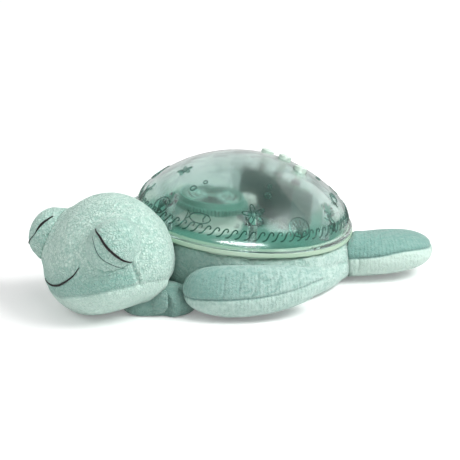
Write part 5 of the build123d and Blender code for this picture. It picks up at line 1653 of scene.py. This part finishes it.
@dataclass
class LampUnit:
    """The hard pieces whose solids have their right shape: each gets its finish."""

    finishes: dict[str, Finish] = field(default_factory=lambda: {
        "trim_ring": FINISH.trim, "base_tub": FINISH.case, "lamp_deck": FINISH.deck,
        "battery_door": FINISH.case, "lamp_housing": FINISH.white, "ripple_disc": FINISH.disc,
        "condenser_lens": FINISH.clear, "lamp_leds": FINISH.clear, "control_pod": FINISH.pod,
        "ripple_gear": FINISH.deck, "motor_pinion": FINISH.white, "motor_can": FINISH.can,
        "motor_shaft": FINISH.steel, "motor_bracket": FINISH.steel, "main_board": FINISH.board,
        "lamp_board": FINISH.board, "control_board": FINISH.board, "board_chip": FINISH.dark,
        "board_capacitors": FINISH.dark, "board_connector": FINISH.white,
        "control_switches": FINISH.dark, "speaker_frame": FINISH.painted, "speaker_cone": FINISH.cone,
        "speaker_magnet": FINISH.dark, "control_lead": FINISH.grey_lead, "lamp_leads": FINISH.red_lead,
        "speaker_leads": FINISH.grey_lead, "motor_leads": FINISH.red_lead,
        "battery_leads": FINISH.red_lead})

    def finish_for(self, name: str) -> Finish | None:
        """The finish of a node.

        Args:
            name: the node's name.

        Returns:
            Its finish, or None where another piece stands for it.
        """
        if name in self.finishes:
            return self.finishes[name]
        if name.endswith("_button"):
            return FINISH.button
        if name.endswith("_plunger"):
            return FINISH.dark
        if "cell" in name:
            return FINISH.cell
        if "screw" in name or name.startswith("contact"):
            return FINISH.steel
        return None

    def build(self, nodes: dict[str, bpy.types.Object]) -> None:
        """Give each hard node its finish.

        Args:
            nodes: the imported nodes.
        """
        for name, node in nodes.items():
            finish = self.finish_for(name)
            if finish is not None:
                Bench.paint(node, finish.material())
                LOG.info("%s: %s", name, finish.name)


@dataclass(frozen=True)
class Lamp:
    """A soft lamp: where it hangs, its width and height, its watts, and whether cloth and gloss show it."""

    name: str
    place: Point
    size: tuple[float, float]
    power: float
    diffuse: bool = True
    glossy: bool = True


@dataclass
class Studio:
    """Pale floor, soft light, and the camera at the photograph's angle."""

    target: Point = (0.0, 0.029, 0.051)
    azimuth_deg: float = 55.0
    elevation_deg: float = 22.0
    distance: float = 4.0
    focal: float = 369.4
    sensor: float = 36.0
    shift: tuple[float, float] = (-0.0278, -0.0339)
    far_clip: float = 50.0
    floor_size: float = 9.0
    floor_glow: float = 0.2
    paper: Colour = (0.86, 0.86, 0.86, 1.0)
    paper_pale: Colour = (0.88, 0.88, 0.88, 1.0)
    world_level: float = 0.4
    world_gloss: float = 0.1
    lamps: tuple[Lamp, ...] = (
        Lamp("key", (1.3, 0.95, 1.75), (1.2, 1.2), 48.0, glossy=False),
        Lamp("top", (0.3, 0.0, 2.3), (1.5, 1.5), 8.0, glossy=False),
        Lamp("fill", (-0.4, -1.9, 1.7), (1.6, 1.6), 13.0, glossy=False),
        Lamp("side_gloss", (-0.4, 2.6, 1.3), (2.4, 2.4), 18.0, diffuse=False),
        Lamp("back_gloss", (-2.0, 1.4, 0.7), (4.5, 2.4), 10.0, diffuse=False),
        Lamp("foot_gloss", (2.1, -1.45, 0.06), (2.4, 0.6), 80.0, diffuse=False))

    def world(self) -> None:
        """Soft light from all round, white to the camera and through clear plastic."""
        world = bpy.data.worlds.new("Studio_World")
        bpy.context.scene.world = world
        world.use_nodes = True
        graph = Graph(world.node_tree)
        shade = world.node_tree.nodes["Background"]
        path = graph.add("ShaderNodeLightPath")
        seen = graph.math("MAXIMUM", path.outputs["Is Camera Ray"], path.outputs["Is Transmission Ray"])
        level = graph.math("MULTIPLY_ADD", path.outputs["Is Glossy Ray"], self.world_gloss, self.world_level)
        graph.put(shade, "Color", (1.0, 1.0, 1.0, 1.0))
        graph.put(shade, "Strength", graph.math("MULTIPLY_ADD", seen, 1.0 - self.world_level, level))

    def floor(self) -> None:
        """A pale floor that keeps the turtle's shadow."""
        bpy.ops.object.select_all(action="DESELECT")
        bpy.ops.mesh.primitive_plane_add(size=self.floor_size, location=(0, 0, 0))
        floor = bpy.context.object
        floor.name = "studio_floor"
        floor.data.transform(Matrix.Translation((0, 0, -GROUND)))
        material, graph, shader = new_material("Studio_Paper")
        grain = SharedPattern.use(graph, SharedPattern.grain(), Fine=300.0, Slow=3.0)
        graph.put(shader, "Base Color", graph.mix(grain.outputs["Wave"], self.paper, self.paper_pale))
        graph.put(shader, "Roughness", 1.0)
        graph.put(shader, "Specular IOR Level", 0.0)
        path = graph.add("ShaderNodeLightPath")
        seen = graph.math("MAXIMUM", path.outputs["Is Camera Ray"], path.outputs["Is Glossy Ray"])
        seen = graph.math("MAXIMUM", seen, path.outputs["Is Transmission Ray"])
        graph.put(shader, "Emission Color", (1.0, 1.0, 1.0, 1.0))
        graph.put(shader, "Emission Strength", graph.math("MULTIPLY", seen, self.floor_glow))
        Bench.paint(floor, material)
        floor.visible_glossy = False

    def hang(self, lamp: Lamp) -> None:
        """Hang a lamp so that it points at the turtle.

        Args:
            lamp: the lamp.
        """
        data = bpy.data.lights.new(lamp.name, "AREA")
        data.shape, data.energy = "ELLIPSE", lamp.power
        data.size, data.size_y = lamp.size
        hung = bpy.data.objects.new(lamp.name, data)
        hung.location = lamp.place
        hung.visible_diffuse, hung.visible_glossy = lamp.diffuse, lamp.glossy
        way = Vector(self.target) - Vector(lamp.place)
        hung.rotation_euler = way.to_track_quat("-Z", "Y").to_euler()
        bpy.context.scene.collection.objects.link(hung)

    def camera(self) -> None:
        """Set the camera at the photograph's angle."""
        azimuth, elevation = math.radians(self.azimuth_deg), math.radians(self.elevation_deg)
        way = Vector((math.sin(azimuth) * math.cos(elevation), -math.cos(azimuth) * math.cos(elevation),
                      math.sin(elevation)))
        data = bpy.data.cameras.new("camera")
        data.sensor_width, data.lens = self.sensor, self.focal
        data.shift_x, data.shift_y = self.shift
        data.clip_end = self.far_clip
        camera = bpy.data.objects.new("camera", data)
        camera.location = Vector(self.target) + way * self.distance
        camera.rotation_euler = (-way).to_track_quat("-Z", "Y").to_euler()
        bpy.context.scene.collection.objects.link(camera)
        bpy.context.scene.camera = camera

    def build(self) -> None:
        """Set up the studio."""
        bpy.context.scene.view_settings.view_transform = "Standard"
        self.world()
        self.floor()
        for lamp in self.lamps:
            self.hang(lamp)
        self.camera()


def main() -> None:
    """Build the turtle night light and its studio."""
    logging.basicConfig(level=logging.INFO, format="%(message)s")
    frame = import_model()
    Studio().build()
    LampUnit().build(frame["nodes"])
    PlushTurtle().build()
    DomeShell().build()


if __name__ == "__main__":
    main()
